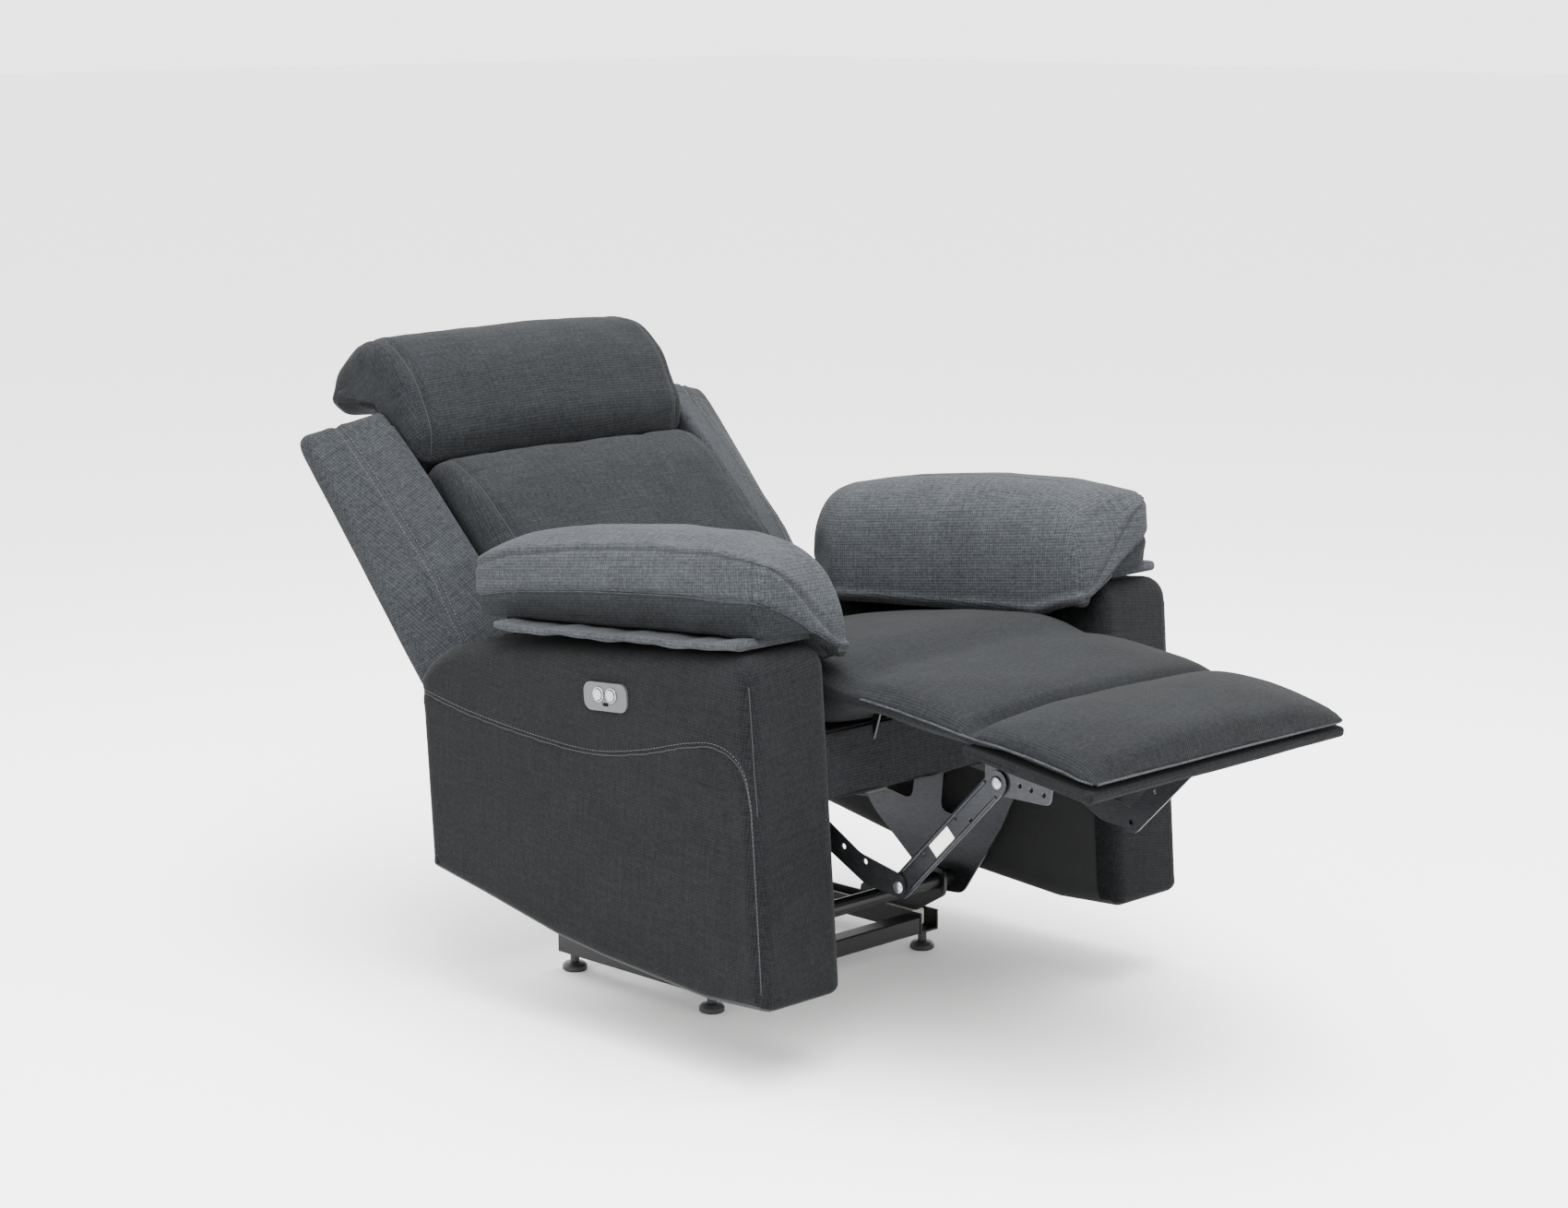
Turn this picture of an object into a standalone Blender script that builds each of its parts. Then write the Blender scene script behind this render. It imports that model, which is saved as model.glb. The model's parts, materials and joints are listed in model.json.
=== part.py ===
"""Power recliner armchair, shown with its legrest out, its back down and its body tipped back.

Metres, +Z up. The chair faces -Y, X runs across it and the floor is z = 0. Upholstered parts are
modelled level, under an empty that tips the whole body back about a line across the chair.
"""
import math

import bmesh
import bpy
from mathutils import Vector

# ---- overall sizes -------------------------------------------------------------------------------
WIDTH = 0.900               # over both arms
ARM_WIDTH = 0.157           # one arm, outside to inside
ARM_FRONT = -0.375          # front face of the arms
ARM_REAR = 0.318            # rear edge of the arms
ARM_TOP_FRONT = 0.575       # arm height at its front and at its rear
ARM_TOP_REAR = 0.556
ARM_BOTTOM_FRONT = 0.092    # the bottom edge rises towards the rear
ARM_BOTTOM_REAR = 0.216
COVER_WALL = 0.012          # board and cloth of an arm's side
BODY_TIP = math.radians(4.2)  # how far the body leans back with the legrest out
TIP_LINE = (0.0, 0.096)     # y, z of the line it is modelled level about
MIDDLE = 0.0143             # moves all of it, so that the origin is under the middle of its box

# ---- materials' thicknesses and pins -------------------------------------------------------------
STEEL = 0.004
LINK_STEEL = 0.003
PIVOT_RADIUS = 0.006
TORQUE_RADIUS = 0.011
SEAT_RAIL = 0.022
BOARD = 0.015
PAD_THICK = 0.045

# ---- clearances ----------------------------------------------------------------------------------
TOUCH = 0.0003              # between pieces that rest on each other
PLAY = 0.0006               # between a pin and its hole
SWING_GAP = 0.004           # between the wings and the arms they turn over
SIDE_GAP = 0.015            # between the legrest and an arm
RAIL_GAP = 0.009            # between a seat rail and an arm
LINK_GAP = 0.0015           # between two links on one pivot
BRACKET_GAP = 0.0023        # between a mechanism plate and the back's frame
PAD_LAP = 0.0605            # how far an arm pad hangs over the arm's inner side
PAD_INSET = 0.029           # how far it stays inside the arm's outer side
LUMBAR_INSET = 0.016        # how much narrower the lumbar cushion is than the legrest, on each side

# ---- axes: y, z in the level body ----------------------------------------------------------------
BACK_HINGE = (0.205, 0.400)
BACK_LEAN = math.radians(37)     # back from upright
LEG_HINGE = (-0.360, 0.500)
LEG_DROP = math.radians(11.6)    # legrest below level
LINK_HINGE = (-0.2185, 0.3606)   # rear ottoman link, on the mechanism plate
KNUCKLE = (-0.448, 0.237)        # where the two ottoman links meet

# ---- base, in the world --------------------------------------------------------------------------
TRACK_INSET = 0.0297             # middle of a track to the inside of a mechanism plate
FOOT_FRONT = -0.042
BASE_LENGTH = 0.300
FOOT_HEIGHT = 0.030
FOOT_RADIUS = 0.019
TRACK_WIDTH = 0.040
TRACK_HEIGHT = 0.032
TRACK_WALL = 0.003
RAIL_DEPTH = 0.030
CROSS_TUBE = (-0.070, 0.115)     # y, z of the tube the body tips on
CROSS_TUBE_RADIUS = 0.013
CARRIAGE_BAR = 0.006

# ---- mechanism -----------------------------------------------------------------------------------
LINK_WIDTH = 0.034
CHAISE_ARM = 0.150               # middle to each hinge arm of the legrest
OTTOMAN_INSET = 0.0438           # footrest board's rear edge to the front link's pivot
OTTOMAN_DROP = 0.0444            # legrest's level to the same pivot
SHOE_FRONT = FOOT_FRONT + 0.010
SHOE_LENGTH = 0.120

# ---- switch, on the outside of the right arm -----------------------------------------------------
SWITCH = (-0.096, 0.503)
BUTTON_RADIUS = 0.0078
BUTTON_APART = 0.026
BUTTON_LIFT = 0.003

# ---- seat, back and legrest ----------------------------------------------------------------------
SEAT_FRONT = -0.315
SEAT_REAR = 0.160
SEAT_BOTTOM = 0.398
SEAT_RAIL_HEIGHT = 0.036
SEAT_TOP = 0.530
BACK_HEIGHT = 0.590              # hinge to the top of the wings
BACK_FRONT = -0.060
BACK_REAR = 0.060
CREASE_HEIGHT = BACK_HEIGHT - 0.103   # between the lumbar cushion and the headrest
HEAD_TOP = BACK_HEIGHT + 0.145
LEG_LENGTH = 0.464
FOOT_SECTION = 0.222

# ---- distances from the middle, worked out from the arms inwards ---------------------------------
INNER = WIDTH / 2 - ARM_WIDTH
PAD_INNER = INNER - PAD_LAP
LEG_HALF = INNER - SIDE_GAP
HEAD_HALF = LEG_HALF
PAD_OUTER = WIDTH / 2 - PAD_INSET
LUMBAR_HALF = LEG_HALF - LUMBAR_INSET
RAIL_OUT = INNER - RAIL_GAP
PLATE_INNER = RAIL_OUT - SEAT_RAIL - TOUCH - STEEL
PLATE_MIDDLE = PLATE_INNER + STEEL / 2
BACK_HALF = PLATE_INNER + STEEL + BRACKET_GAP
FOOT_HALF_SPAN = PLATE_INNER - TRACK_INSET
REAR_LINK_X = PLATE_INNER - LINK_GAP - LINK_STEEL / 2 - 0.001
FRONT_LINK_X = REAR_LINK_X - LINK_STEEL - LINK_GAP
BRACKET_X = FRONT_LINK_X - LINK_STEEL - LINK_GAP
SIDES = (("right", -1), ("left", 1))


# ---- scene and materials -------------------------------------------------------------------------
for old in list(bpy.data.objects):
    bpy.data.objects.remove(old, do_unlink=True)

parts = bpy.data.collections.new("recliner_armchair")
cutters = bpy.data.collections.new("cutters")
for collection in (parts, cutters):
    bpy.context.scene.collection.children.link(collection)


def material(name, colour, roughness, metallic=0.0):
    made = bpy.data.materials.new(name)
    made.use_nodes = True
    shader = made.node_tree.nodes["Principled BSDF"]
    shader.inputs["Base Color"].default_value = (*colour, 1)
    shader.inputs["Roughness"].default_value = roughness
    shader.inputs["Metallic"].default_value = metallic
    return made


CLOTH = ("woven_cloth", (0.052, 0.062, 0.072), 0.9)
WOOD = ("plywood", (0.42, 0.30, 0.18), 0.7)
BLACK = ("black_steel", (0.012, 0.012, 0.013), 0.45, 0.6)
GREY = ("grey_steel", (0.11, 0.11, 0.115), 0.4, 0.8)
PLASTIC = ("black_plastic", (0.02, 0.02, 0.021), 0.5)
NYLON = ("nylon", (0.55, 0.55, 0.52), 0.5)
WEBBING = ("webbing", (0.05, 0.05, 0.05), 0.9)
CHROME = ("chrome", (0.75, 0.75, 0.76), 0.12, 1.0)


# ---- shape helpers -------------------------------------------------------------------------------
def place(thing, look, parent=None, collection=parts):
    """Give the object its own material, its collection and its parent."""
    if thing.name not in collection.objects:
        collection.objects.link(thing)
    if look:
        made = material(thing.name + "_" + look[0], *look[1:])
        thing.data.materials.clear()
        thing.data.materials.append(made)
    thing.parent = parent
    if collection is cutters:
        thing.hide_render = True
        thing.display_type = "WIRE"
    return thing


def datum(name, y, z, turn, parent=None):
    """An empty on an axis across the chair; turn tips its children about X."""
    empty = bpy.data.objects.new(name, None)
    parts.objects.link(empty)
    empty.location = (0, y, z)
    empty.rotation_euler = (turn, 0, 0)
    empty.parent = parent
    return empty


def bevel(thing, width, segments=2):
    soften = thing.modifiers.new("soften", "BEVEL")
    soften.width = width
    soften.segments = segments
    soften.limit_method = "ANGLE"
    soften.angle_limit = math.radians(35)


def block(name, low, high, look, parent=None, rounding=0.0, segments=2, collection=parts):
    """A box from its lowest to its highest corner."""
    mesh = bpy.data.meshes.new(name)
    shape = bmesh.new()
    bmesh.ops.create_cube(shape, size=1)
    low, high = Vector(low), Vector(high)
    size = high - low
    for vert in shape.verts:
        vert.co = Vector([c * s for c, s in zip(vert.co, size)]) + (low + high) / 2
    shape.to_mesh(mesh)
    shape.free()
    thing = place(bpy.data.objects.new(name, mesh), look, parent, collection)
    if rounding:
        bevel(thing, rounding, segments)
    return thing


def rod(name, x0, x1, y, z, radius, look, parent=None, sides=16, collection=parts):
    """A cylinder along X."""
    mesh = bpy.data.meshes.new(name)
    shape = bmesh.new()
    bmesh.ops.create_cone(shape, cap_ends=True, segments=sides, radius1=radius, radius2=radius,
                          depth=x1 - x0)
    for vert in shape.verts:
        vert.co = Vector((vert.co.z + (x0 + x1) / 2, y + vert.co.x, z + vert.co.y))
    shape.to_mesh(mesh)
    shape.free()
    mesh.shade_smooth()
    mesh.set_sharp_from_angle(angle=math.radians(40))
    return place(bpy.data.objects.new(name, mesh), look, parent, collection)


def arc(centre, radius, start, end, steps):
    """Points round a centre, angles in degrees from +Y towards +Z."""
    return [(centre[0] + radius * math.cos(math.radians(start + (end - start) * i / steps)),
             centre[1] + radius * math.sin(math.radians(start + (end - start) * i / steps)))
            for i in range(steps + 1)]


def circle(centre, radius, steps=14):
    """A hole whose flats, not its corners, are radius from the centre."""
    return arc(centre, radius / math.cos(math.pi / steps), 0, 360, steps)[:-1]


def rounded(corners, steps=4):
    """An outline from (y, z, radius) corners, each corner turned into an arc."""
    points = []
    for i, (y, z, radius) in enumerate(corners):
        here = Vector((y, z))
        back = Vector(corners[i - 1][:2]) - here
        on = Vector(corners[(i + 1) % len(corners)][:2]) - here
        half = back.angle(on) / 2
        if radius <= 0 or half > math.radians(89):
            points.append((y, z))
            continue
        reach = min(radius / math.tan(half), back.length * 0.49, on.length * 0.49)
        radius = reach * math.tan(half)
        middle = here + (back.normalized() + on.normalized()).normalized() * radius / math.sin(half)
        first = here + back.normalized() * reach - middle
        last = here + on.normalized() * reach - middle
        sweep = first.angle_signed(last)
        for step in range(steps + 1):
            turn = -sweep * step / steps
            points.append((middle.x + first.x * math.cos(turn) - first.y * math.sin(turn),
                           middle.y + first.x * math.sin(turn) + first.y * math.cos(turn)))
    return points


def capsule(a, b, radius, steps=8):
    """An outline round the line from a to b: two half circles."""
    heading = math.degrees(math.atan2(b[1] - a[1], b[0] - a[0]))
    return (arc(b, radius, heading - 90, heading + 90, steps)
            + arc(a, radius, heading + 90, heading + 270, steps))


def plate(name, outlines, x, thickness, look, parent=None, rounding=0.0, plane="YZ",
          collection=parts, segments=2):
    """A flat piece cut to an outline, holes after it, centred on x across the chair.

    In plane XZ the outlines are x, z and the third value is the piece's y.
    """
    curve = bpy.data.curves.new(name, "CURVE")
    curve.dimensions = "2D"
    curve.fill_mode = "BOTH"
    curve.extrude = thickness / 2
    for outline in outlines:
        spline = curve.splines.new("POLY")
        spline.points.add(len(outline) - 1)
        for point, (u, v) in zip(spline.points, outline):
            point.co = (u, v, 0, 1)
        spline.use_cyclic_u = True
    thing = place(bpy.data.objects.new(name, curve), look, parent, collection)
    thing.rotation_mode = "QUATERNION"
    if plane == "YZ":
        thing.rotation_quaternion = (0.5, 0.5, 0.5, 0.5)
        thing.location.x = x
    else:
        thing.rotation_quaternion = (math.sqrt(0.5), math.sqrt(0.5), 0, 0)
        thing.location.y = x
    if rounding:
        weld = thing.modifiers.new("weld", "WELD")
        weld.merge_threshold = 0.00005
        bevel(thing, rounding, segments)
    return thing


def solid(thing):
    """Turn a curve or a modified object into a plain mesh, so it can be cut."""
    bpy.context.view_layer.update()
    graph = bpy.context.evaluated_depsgraph_get()
    mesh = bpy.data.meshes.new_from_object(thing.evaluated_get(graph))
    shape = bmesh.new()
    shape.from_mesh(mesh)
    bmesh.ops.remove_doubles(shape, verts=shape.verts, dist=0.00005)
    bmesh.ops.recalc_face_normals(shape, faces=shape.faces)
    shape.to_mesh(mesh)
    shape.free()
    name = thing.name
    thing.name = name + "_curve"
    made = bpy.data.objects.new(name, mesh)
    made.parent = thing.parent
    made.matrix_world = thing.matrix_world.copy()
    (cutters if thing.display_type == "WIRE" else parts).objects.link(made)
    made.hide_render = thing.hide_render
    made.display_type = thing.display_type
    bpy.data.objects.remove(thing, do_unlink=True)
    return made


def cut(thing, cutter, operation="DIFFERENCE"):
    change = thing.modifiers.new(operation.lower(), "BOOLEAN")
    change.object = cutter
    change.operation = operation
    change.solver = "EXACT"


def turned(name, profile, place_at, look, parent=None, sides=20):
    """A turned piece standing at place_at; profile is (radius, height), top to bottom."""
    mesh = bpy.data.meshes.new(name)
    mesh.from_pydata([(r, 0, z) for r, z in profile],
                     [(i, i + 1) for i in range(len(profile) - 1)], [])
    thing = place(bpy.data.objects.new(name, mesh), look, parent)
    thing.location = place_at
    screw = thing.modifiers.new("turn", "SCREW")
    screw.steps = screw.render_steps = sides
    screw.use_merge_vertices = True
    screw.merge_threshold = 0.0001
    screw.use_smooth_shade = False
    return thing


# ---- datums --------------------------------------------------------------------------------------
def tipped(y, z):
    """World y, z of a point of the level body."""
    dy, dz = y - TIP_LINE[0], z - TIP_LINE[1]
    c, s = math.cos(BODY_TIP), math.sin(BODY_TIP)
    return TIP_LINE[0] + dy * c + dz * s, TIP_LINE[1] - dy * s + dz * c


def level(y, z):
    """Level body y, z of a point in the world."""
    dy, dz = y - TIP_LINE[0], z - TIP_LINE[1]
    c, s = math.cos(BODY_TIP), math.sin(BODY_TIP)
    return TIP_LINE[0] + dy * c - dz * s, TIP_LINE[1] + dy * s + dz * c


def from_leg(y, z):
    """Level body y, z of a point of the legrest."""
    c, s = math.cos(LEG_DROP), math.sin(LEG_DROP)
    return LEG_HINGE[0] + y * c - z * s, LEG_HINGE[1] + y * s + z * c


FOOT_REAR = FOOT_SECTION - LEG_LENGTH     # footrest board's rear edge, on the legrest
OTTOMAN_PIVOT = from_leg(FOOT_REAR - OTTOMAN_INSET, -OTTOMAN_DROP)


chair = datum("chair_datum", MIDDLE, 0, 0)
body = datum("body_datum", *tipped(0, 0), -BODY_TIP, chair)
back = datum("back_datum", *BACK_HINGE, -BACK_LEAN, body)
leg = datum("legrest_datum", *LEG_HINGE, LEG_DROP, body)


# ---- base: two channel tracks, two rails, four glides --------------------------------------------
def base():
    rear = FOOT_FRONT + BASE_LENGTH
    low, top = FOOT_HEIGHT, FOOT_HEIGHT + TRACK_HEIGHT
    inner = FOOT_HALF_SPAN - TRACK_WIDTH / 2
    half = TRACK_WIDTH / 2
    ends = (FOOT_FRONT - RAIL_DEPTH / 2, rear + RAIL_DEPTH / 2)
    for side, sign in SIDES:
        middle = sign * FOOT_HALF_SPAN
        channel = [(middle - half, low), (middle + half, low), (middle + half, top),
                   (middle + half - TRACK_WALL, top), (middle + half - TRACK_WALL, low + TRACK_WALL),
                   (middle - half + TRACK_WALL, low + TRACK_WALL),
                   (middle - half + TRACK_WALL, top), (middle - half, top)]
        plate("base_track_" + side, [channel], sum(ends) / 2, ends[1] - ends[0], BLACK, chair,
              plane="XZ")
        for end, y in (("front", FOOT_FRONT), ("rear", rear)):
            profile = [(0, low - TOUCH), (0.007, low - TOUCH), (0.007, 0.014),
                       (FOOT_RADIUS * 0.8, 0.012), (FOOT_RADIUS, 0.008), (FOOT_RADIUS, 0.002),
                       (FOOT_RADIUS - 0.002, 0), (0, 0)]
            turned("glide_foot_%s_%s" % (end, side), profile, (middle, y, 0), PLASTIC, chair)
    for end, y in (("front", FOOT_FRONT), ("rear", rear)):
        block("base_rail_" + end, (TOUCH - inner, y - RAIL_DEPTH / 2, low),
              (inner - TOUCH, y + RAIL_DEPTH / 2, top - 0.004), BLACK, chair, 0.002, 1)


# ---- carriage: slides along the tracks and carries the body --------------------------------------
def carriage():
    floor = FOOT_HEIGHT + TRACK_WALL + TOUCH
    shoe_top = FOOT_HEIGHT + TRACK_HEIGHT - 0.002
    half = TRACK_WIDTH / 2 - TRACK_WALL - PLAY
    y, z = CROSS_TUBE
    for side, sign in SIDES:
        middle = sign * FOOT_HALF_SPAN
        block("slide_shoe_" + side, (middle - half, SHOE_FRONT, floor),
              (middle + half, SHOE_FRONT + SHOE_LENGTH, shoe_top), NYLON, chair, 0.002, 1)
        foot = shoe_top + TOUCH
        rear = SHOE_FRONT + SHOE_LENGTH
        outline = rounded([(y - 0.020, z + 0.022, 0.014), (y - 0.020, z - 0.020, 0.014),
                           (SHOE_FRONT, foot, 0), (rear, foot, 0), (rear, foot + 0.022, 0.010),
                           (SHOE_FRONT + 0.06, foot + 0.030, 0.030), (y + 0.03, z + 0.022, 0.014)], 3)
        plate("carriage_bar_" + side, [outline, circle((y, z), CROSS_TUBE_RADIUS + PLAY)],
              middle, CARRIAGE_BAR, BLACK, chair)
    rod("carriage_cross_tube", PLAY - PLATE_INNER, PLATE_INNER - PLAY, y, z, CROSS_TUBE_RADIUS, BLACK,
        chair)


# ---- arms ----------------------------------------------------------------------------------------
WING_SLOPE = math.radians(29)                # wings' front faces from straight across
WING_RADIUS = math.hypot(-0.054, 0.150)      # wings' lower edge, round the back hinge
ARM_ARC = WING_RADIUS - SWING_GAP


def arm_outline(inset=0.0, drop=0.0):
    """Side view of an arm; inset moves it inwards, drop pulls its bottom edge down."""
    radius = ARM_ARC - inset
    rear = ARM_REAR - inset
    stop = math.degrees(math.acos((rear - BACK_HINGE[0]) / radius))
    shoulder = arc(BACK_HINGE, radius, stop, 90, 6)
    slope = (ARM_TOP_FRONT - ARM_TOP_REAR) / (ARM_FRONT - BACK_HINGE[0])
    front = ARM_FRONT + inset
    top = ARM_TOP_REAR + slope * (front - BACK_HINGE[0]) - inset
    return rounded([(y, z, 0) for y, z in shoulder]
                   + [(0.10, ARM_TOP_REAR + slope * (0.10 - BACK_HINGE[0]) - inset, 0),
                      (front, top, 0.030), (front, ARM_BOTTOM_FRONT - drop, 0.012),
                      (-0.250, ARM_BOTTOM_FRONT + 0.008 - drop, 0.10),
                      (0.044, ARM_BOTTOM_FRONT + 0.040 - drop, 0.10),
                      (rear, ARM_BOTTOM_REAR - drop, 0.006)], 4)


def arms():
    hollow = 0.002
    for side, sign in SIDES:
        middle = sign * (WIDTH / 2 - ARM_WIDTH / 2)
        cover = plate("arm_cover_" + side, [arm_outline()], middle, ARM_WIDTH, CLOTH, body,
                      rounding=0.010)
        cover = solid(cover)
        place(cover, CLOTH, body)
        inside = solid(plate("arm_hollow_" + side, [arm_outline(COVER_WALL, 0.05)], middle,
                             ARM_WIDTH - 2 * COVER_WALL, None, body, collection=cutters))
        cut(cover, inside)
        if sign < 0:
            recess = block("switch_recess", (-WIDTH / 2 - 0.01, SWITCH[0] - 0.034, SWITCH[1] - 0.014),
                           (-WIDTH / 2 + COVER_WALL + 0.01, SWITCH[0] + 0.034, SWITCH[1] + 0.014),
                           None, body, collection=cutters)
            cut(cover, recess)
        frame_x = sign * (INNER + COVER_WALL + TOUCH + 0.009)
        deep = COVER_WALL + hollow
        holes = [rounded([(y, 0.49, 0.02), (y, 0.37, 0.02), (y + 0.13, 0.37, 0.02),
                          (y + 0.13, 0.49, 0.02)], 2) for y in (-0.32, -0.12, 0.08)]
        outline = arm_outline(deep, -0.020)
        plate("arm_frame_" + side, [outline] + holes, frame_x, 0.018, WOOD, body)
        board_low = ARM_TOP_FRONT + 0.004
        block("pad_board_" + side, *span(sign, INNER + 0.012, WIDTH / 2 + 0.004, -0.340, 0.145,
                                         board_low, board_low + 0.012), WOOD, body, 0.003, 1)
        low = board_low + 0.012 + TOUCH
        profile = rounded([(0.221, low, 0.02), (0.225, 0.658, 0.03), (0.095, 0.712, 0.12),
                           (-0.140, 0.732, 0.20), (-0.350, 0.702, 0.10), (-0.388, 0.640, 0.05),
                           (-0.365, low, 0.02)], 4)
        pad = solid(plate("arm_pad_" + side, [profile], sign * (PAD_INNER + PAD_OUTER) / 2,
                          PAD_OUTER - PAD_INNER, CLOTH, body, rounding=0.028, segments=3))
        # the pad's rear inner corner stays clear of the lumbar cushion as the back comes up
        corner = block("pad_corner_" + side, (-0.2, 0.0, 0.5), (0.2, 0.2, 0.8), None, body,
                       collection=cutters)
        corner.location = (sign * PAD_INNER, 0.130, 0.0)
        corner.rotation_euler = (0.0, 0.0, sign * math.atan2(0.070, 0.0425))
        cut(pad, corner)


def span(sign, x0, x1, y0, y1, z0, z1):
    """Corners of a box between two distances from the middle, on one side."""
    xs = sorted((sign * x0, sign * x1))
    return (xs[0], y0, z0), (xs[1], y1, z1)


# ---- switch: a plate with two buttons on the outside of the right arm ----------------------------
def switch():
    y, z = SWITCH
    face = -WIDTH / 2 - TOUCH
    plate_thick = 0.004
    holes = [circle((y + dy, z + BUTTON_LIFT), BUTTON_RADIUS + PLAY, 16)
             for dy in (-BUTTON_APART / 2, BUTTON_APART / 2)]
    usb = rounded([(y - 0.006, z - 0.008, 0.001), (y - 0.006, z - 0.013, 0.001),
                   (y + 0.006, z - 0.013, 0.001), (y + 0.006, z - 0.008, 0.001)], 2)
    outline = rounded([(y - 0.044, z - 0.020, 0.014), (y + 0.044, z - 0.020, 0.014),
                       (y + 0.044, z + 0.020, 0.014), (y - 0.044, z + 0.020, 0.014)], 5)
    plate("switch_plate", [outline] + holes + [usb], face - plate_thick / 2, plate_thick, PLASTIC, body)
    for name, dy in (("open", -BUTTON_APART / 2), ("close", BUTTON_APART / 2)):
        rod("button_" + name, face - plate_thick - 0.0025, face + 0.006, y + dy, z + BUTTON_LIFT,
            BUTTON_RADIUS, CHROME, body, 20)


# ---- seat ----------------------------------------------------------------------------------------
def seat():
    top = SEAT_BOTTOM + SEAT_RAIL_HEIGHT
    inside = RAIL_OUT - SEAT_RAIL - TOUCH
    for side, sign in SIDES:
        block("seat_rail_" + side, *span(sign, RAIL_OUT - SEAT_RAIL, RAIL_OUT, SEAT_FRONT, SEAT_REAR,
                                         SEAT_BOTTOM, top), WOOD, body, 0.003, 1)
    for end, y in (("front", SEAT_FRONT), ("rear", SEAT_REAR - SEAT_RAIL)):
        block("seat_rail_" + end, (-inside + STEEL + TOUCH, y, SEAT_BOTTOM),
              (inside - STEEL - TOUCH, y + SEAT_RAIL, top), WOOD, body, 0.003, 1)
    block("seat_deck", (-RAIL_OUT + 0.01, SEAT_FRONT, top + TOUCH),
          (RAIL_OUT - 0.01, SEAT_REAR, top + 0.006), WEBBING, body)
    low = top + 0.006 + TOUCH
    profile = rounded([(0.112, low, 0.01), (0.112, 0.500, 0.03), (-0.20, SEAT_TOP + 0.012, 0.20),
                       (SEAT_FRONT + 0.001, SEAT_TOP, 0.04), (SEAT_FRONT + 0.001, low, 0.01)], 4)
    plate("seat_cushion", [profile], 0, 2 * LEG_HALF, CLOTH, body, rounding=0.018)
    block("rear_valance", (-RAIL_OUT, ARM_REAR - 0.014, ARM_BOTTOM_REAR),
          (RAIL_OUT, ARM_REAR - 0.006, 0.385), CLOTH, body, 0.002, 1)


# ---- mechanism on the body -----------------------------------------------------------------------
def mechanism():
    tube_y, tube_z = level(*CROSS_TUBE)
    hole = CROSS_TUBE_RADIUS + PLAY
    outline = rounded([(-0.262, 0.395, 0.02), (-0.262, 0.335, 0.03), (-0.185, 0.200, 0.04),
                       (tube_y - 0.026, tube_z - 0.024, 0.02), (tube_y + 0.030, tube_z - 0.024, 0.02),
                       (0.080, 0.200, 0.06), (0.150, 0.300, 0.04), (0.232, 0.378, 0.024),
                       (0.222, 0.424, 0.022), (0.150, 0.424, 0.01), (-0.225, 0.424, 0.02)], 3)
    windows = [rounded([(-0.170, 0.280, 0.012), (-0.130, 0.200, 0.012), (-0.060, 0.215, 0.012),
                        (-0.075, 0.300, 0.012)], 2),
               rounded([(-0.020, 0.310, 0.012), (0.000, 0.225, 0.012), (0.060, 0.240, 0.012),
                        (0.090, 0.315, 0.012)], 2)]
    holes = [circle(BACK_HINGE, PIVOT_RADIUS + PLAY), circle(LINK_HINGE, TORQUE_RADIUS + PLAY)]
    for side, sign in SIDES:
        plate("mechanism_plate_" + side, [outline] + holes + windows, sign * PLATE_MIDDLE, STEEL, GREY,
              body)
        tab = rounded([(SEAT_FRONT - TOUCH, SEAT_BOTTOM + 0.004, 0),
                       (SEAT_FRONT - TOUCH, SEAT_BOTTOM + SEAT_RAIL_HEIGHT, 0),
                       (LEG_HINGE[0] + 0.013, LEG_HINGE[1] + 0.006, 0.010),
                       (LEG_HINGE[0] - 0.008, LEG_HINGE[1] + 0.014, 0.010),
                       (LEG_HINGE[0] - 0.014, LEG_HINGE[1] - 0.010, 0.010),
                       (LEG_HINGE[0] + 0.014, LEG_HINGE[1] - 0.020, 0.008)], 3)
        plate("chaise_tab_" + side, [tab, circle(LEG_HINGE, PIVOT_RADIUS - 0.001)],
              sign * (CHAISE_ARM + STEEL + PLAY), STEEL, BLACK, body)
    block("actuator_track", (-0.015, -0.190, 0.325), (0.015, SEAT_REAR - SEAT_RAIL, 0.345), GREY, body,
          0.002, 1)
    motor = block("motor_housing", (-0.040, 0.045, 0.235), (0.040, 0.125, 0.325 - TOUCH), PLASTIC, body,
                  0.010)
    inlet = block("power_inlet", (-0.009, 0.113, 0.255), (0.009, 0.130, 0.268), None, body,
                  collection=cutters)
    cut(motor, inlet)
    block("drive_block", (-0.024, -0.175, 0.295), (0.024, -0.115, 0.325 - PLAY), PLASTIC, body, 0.004, 1)


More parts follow.
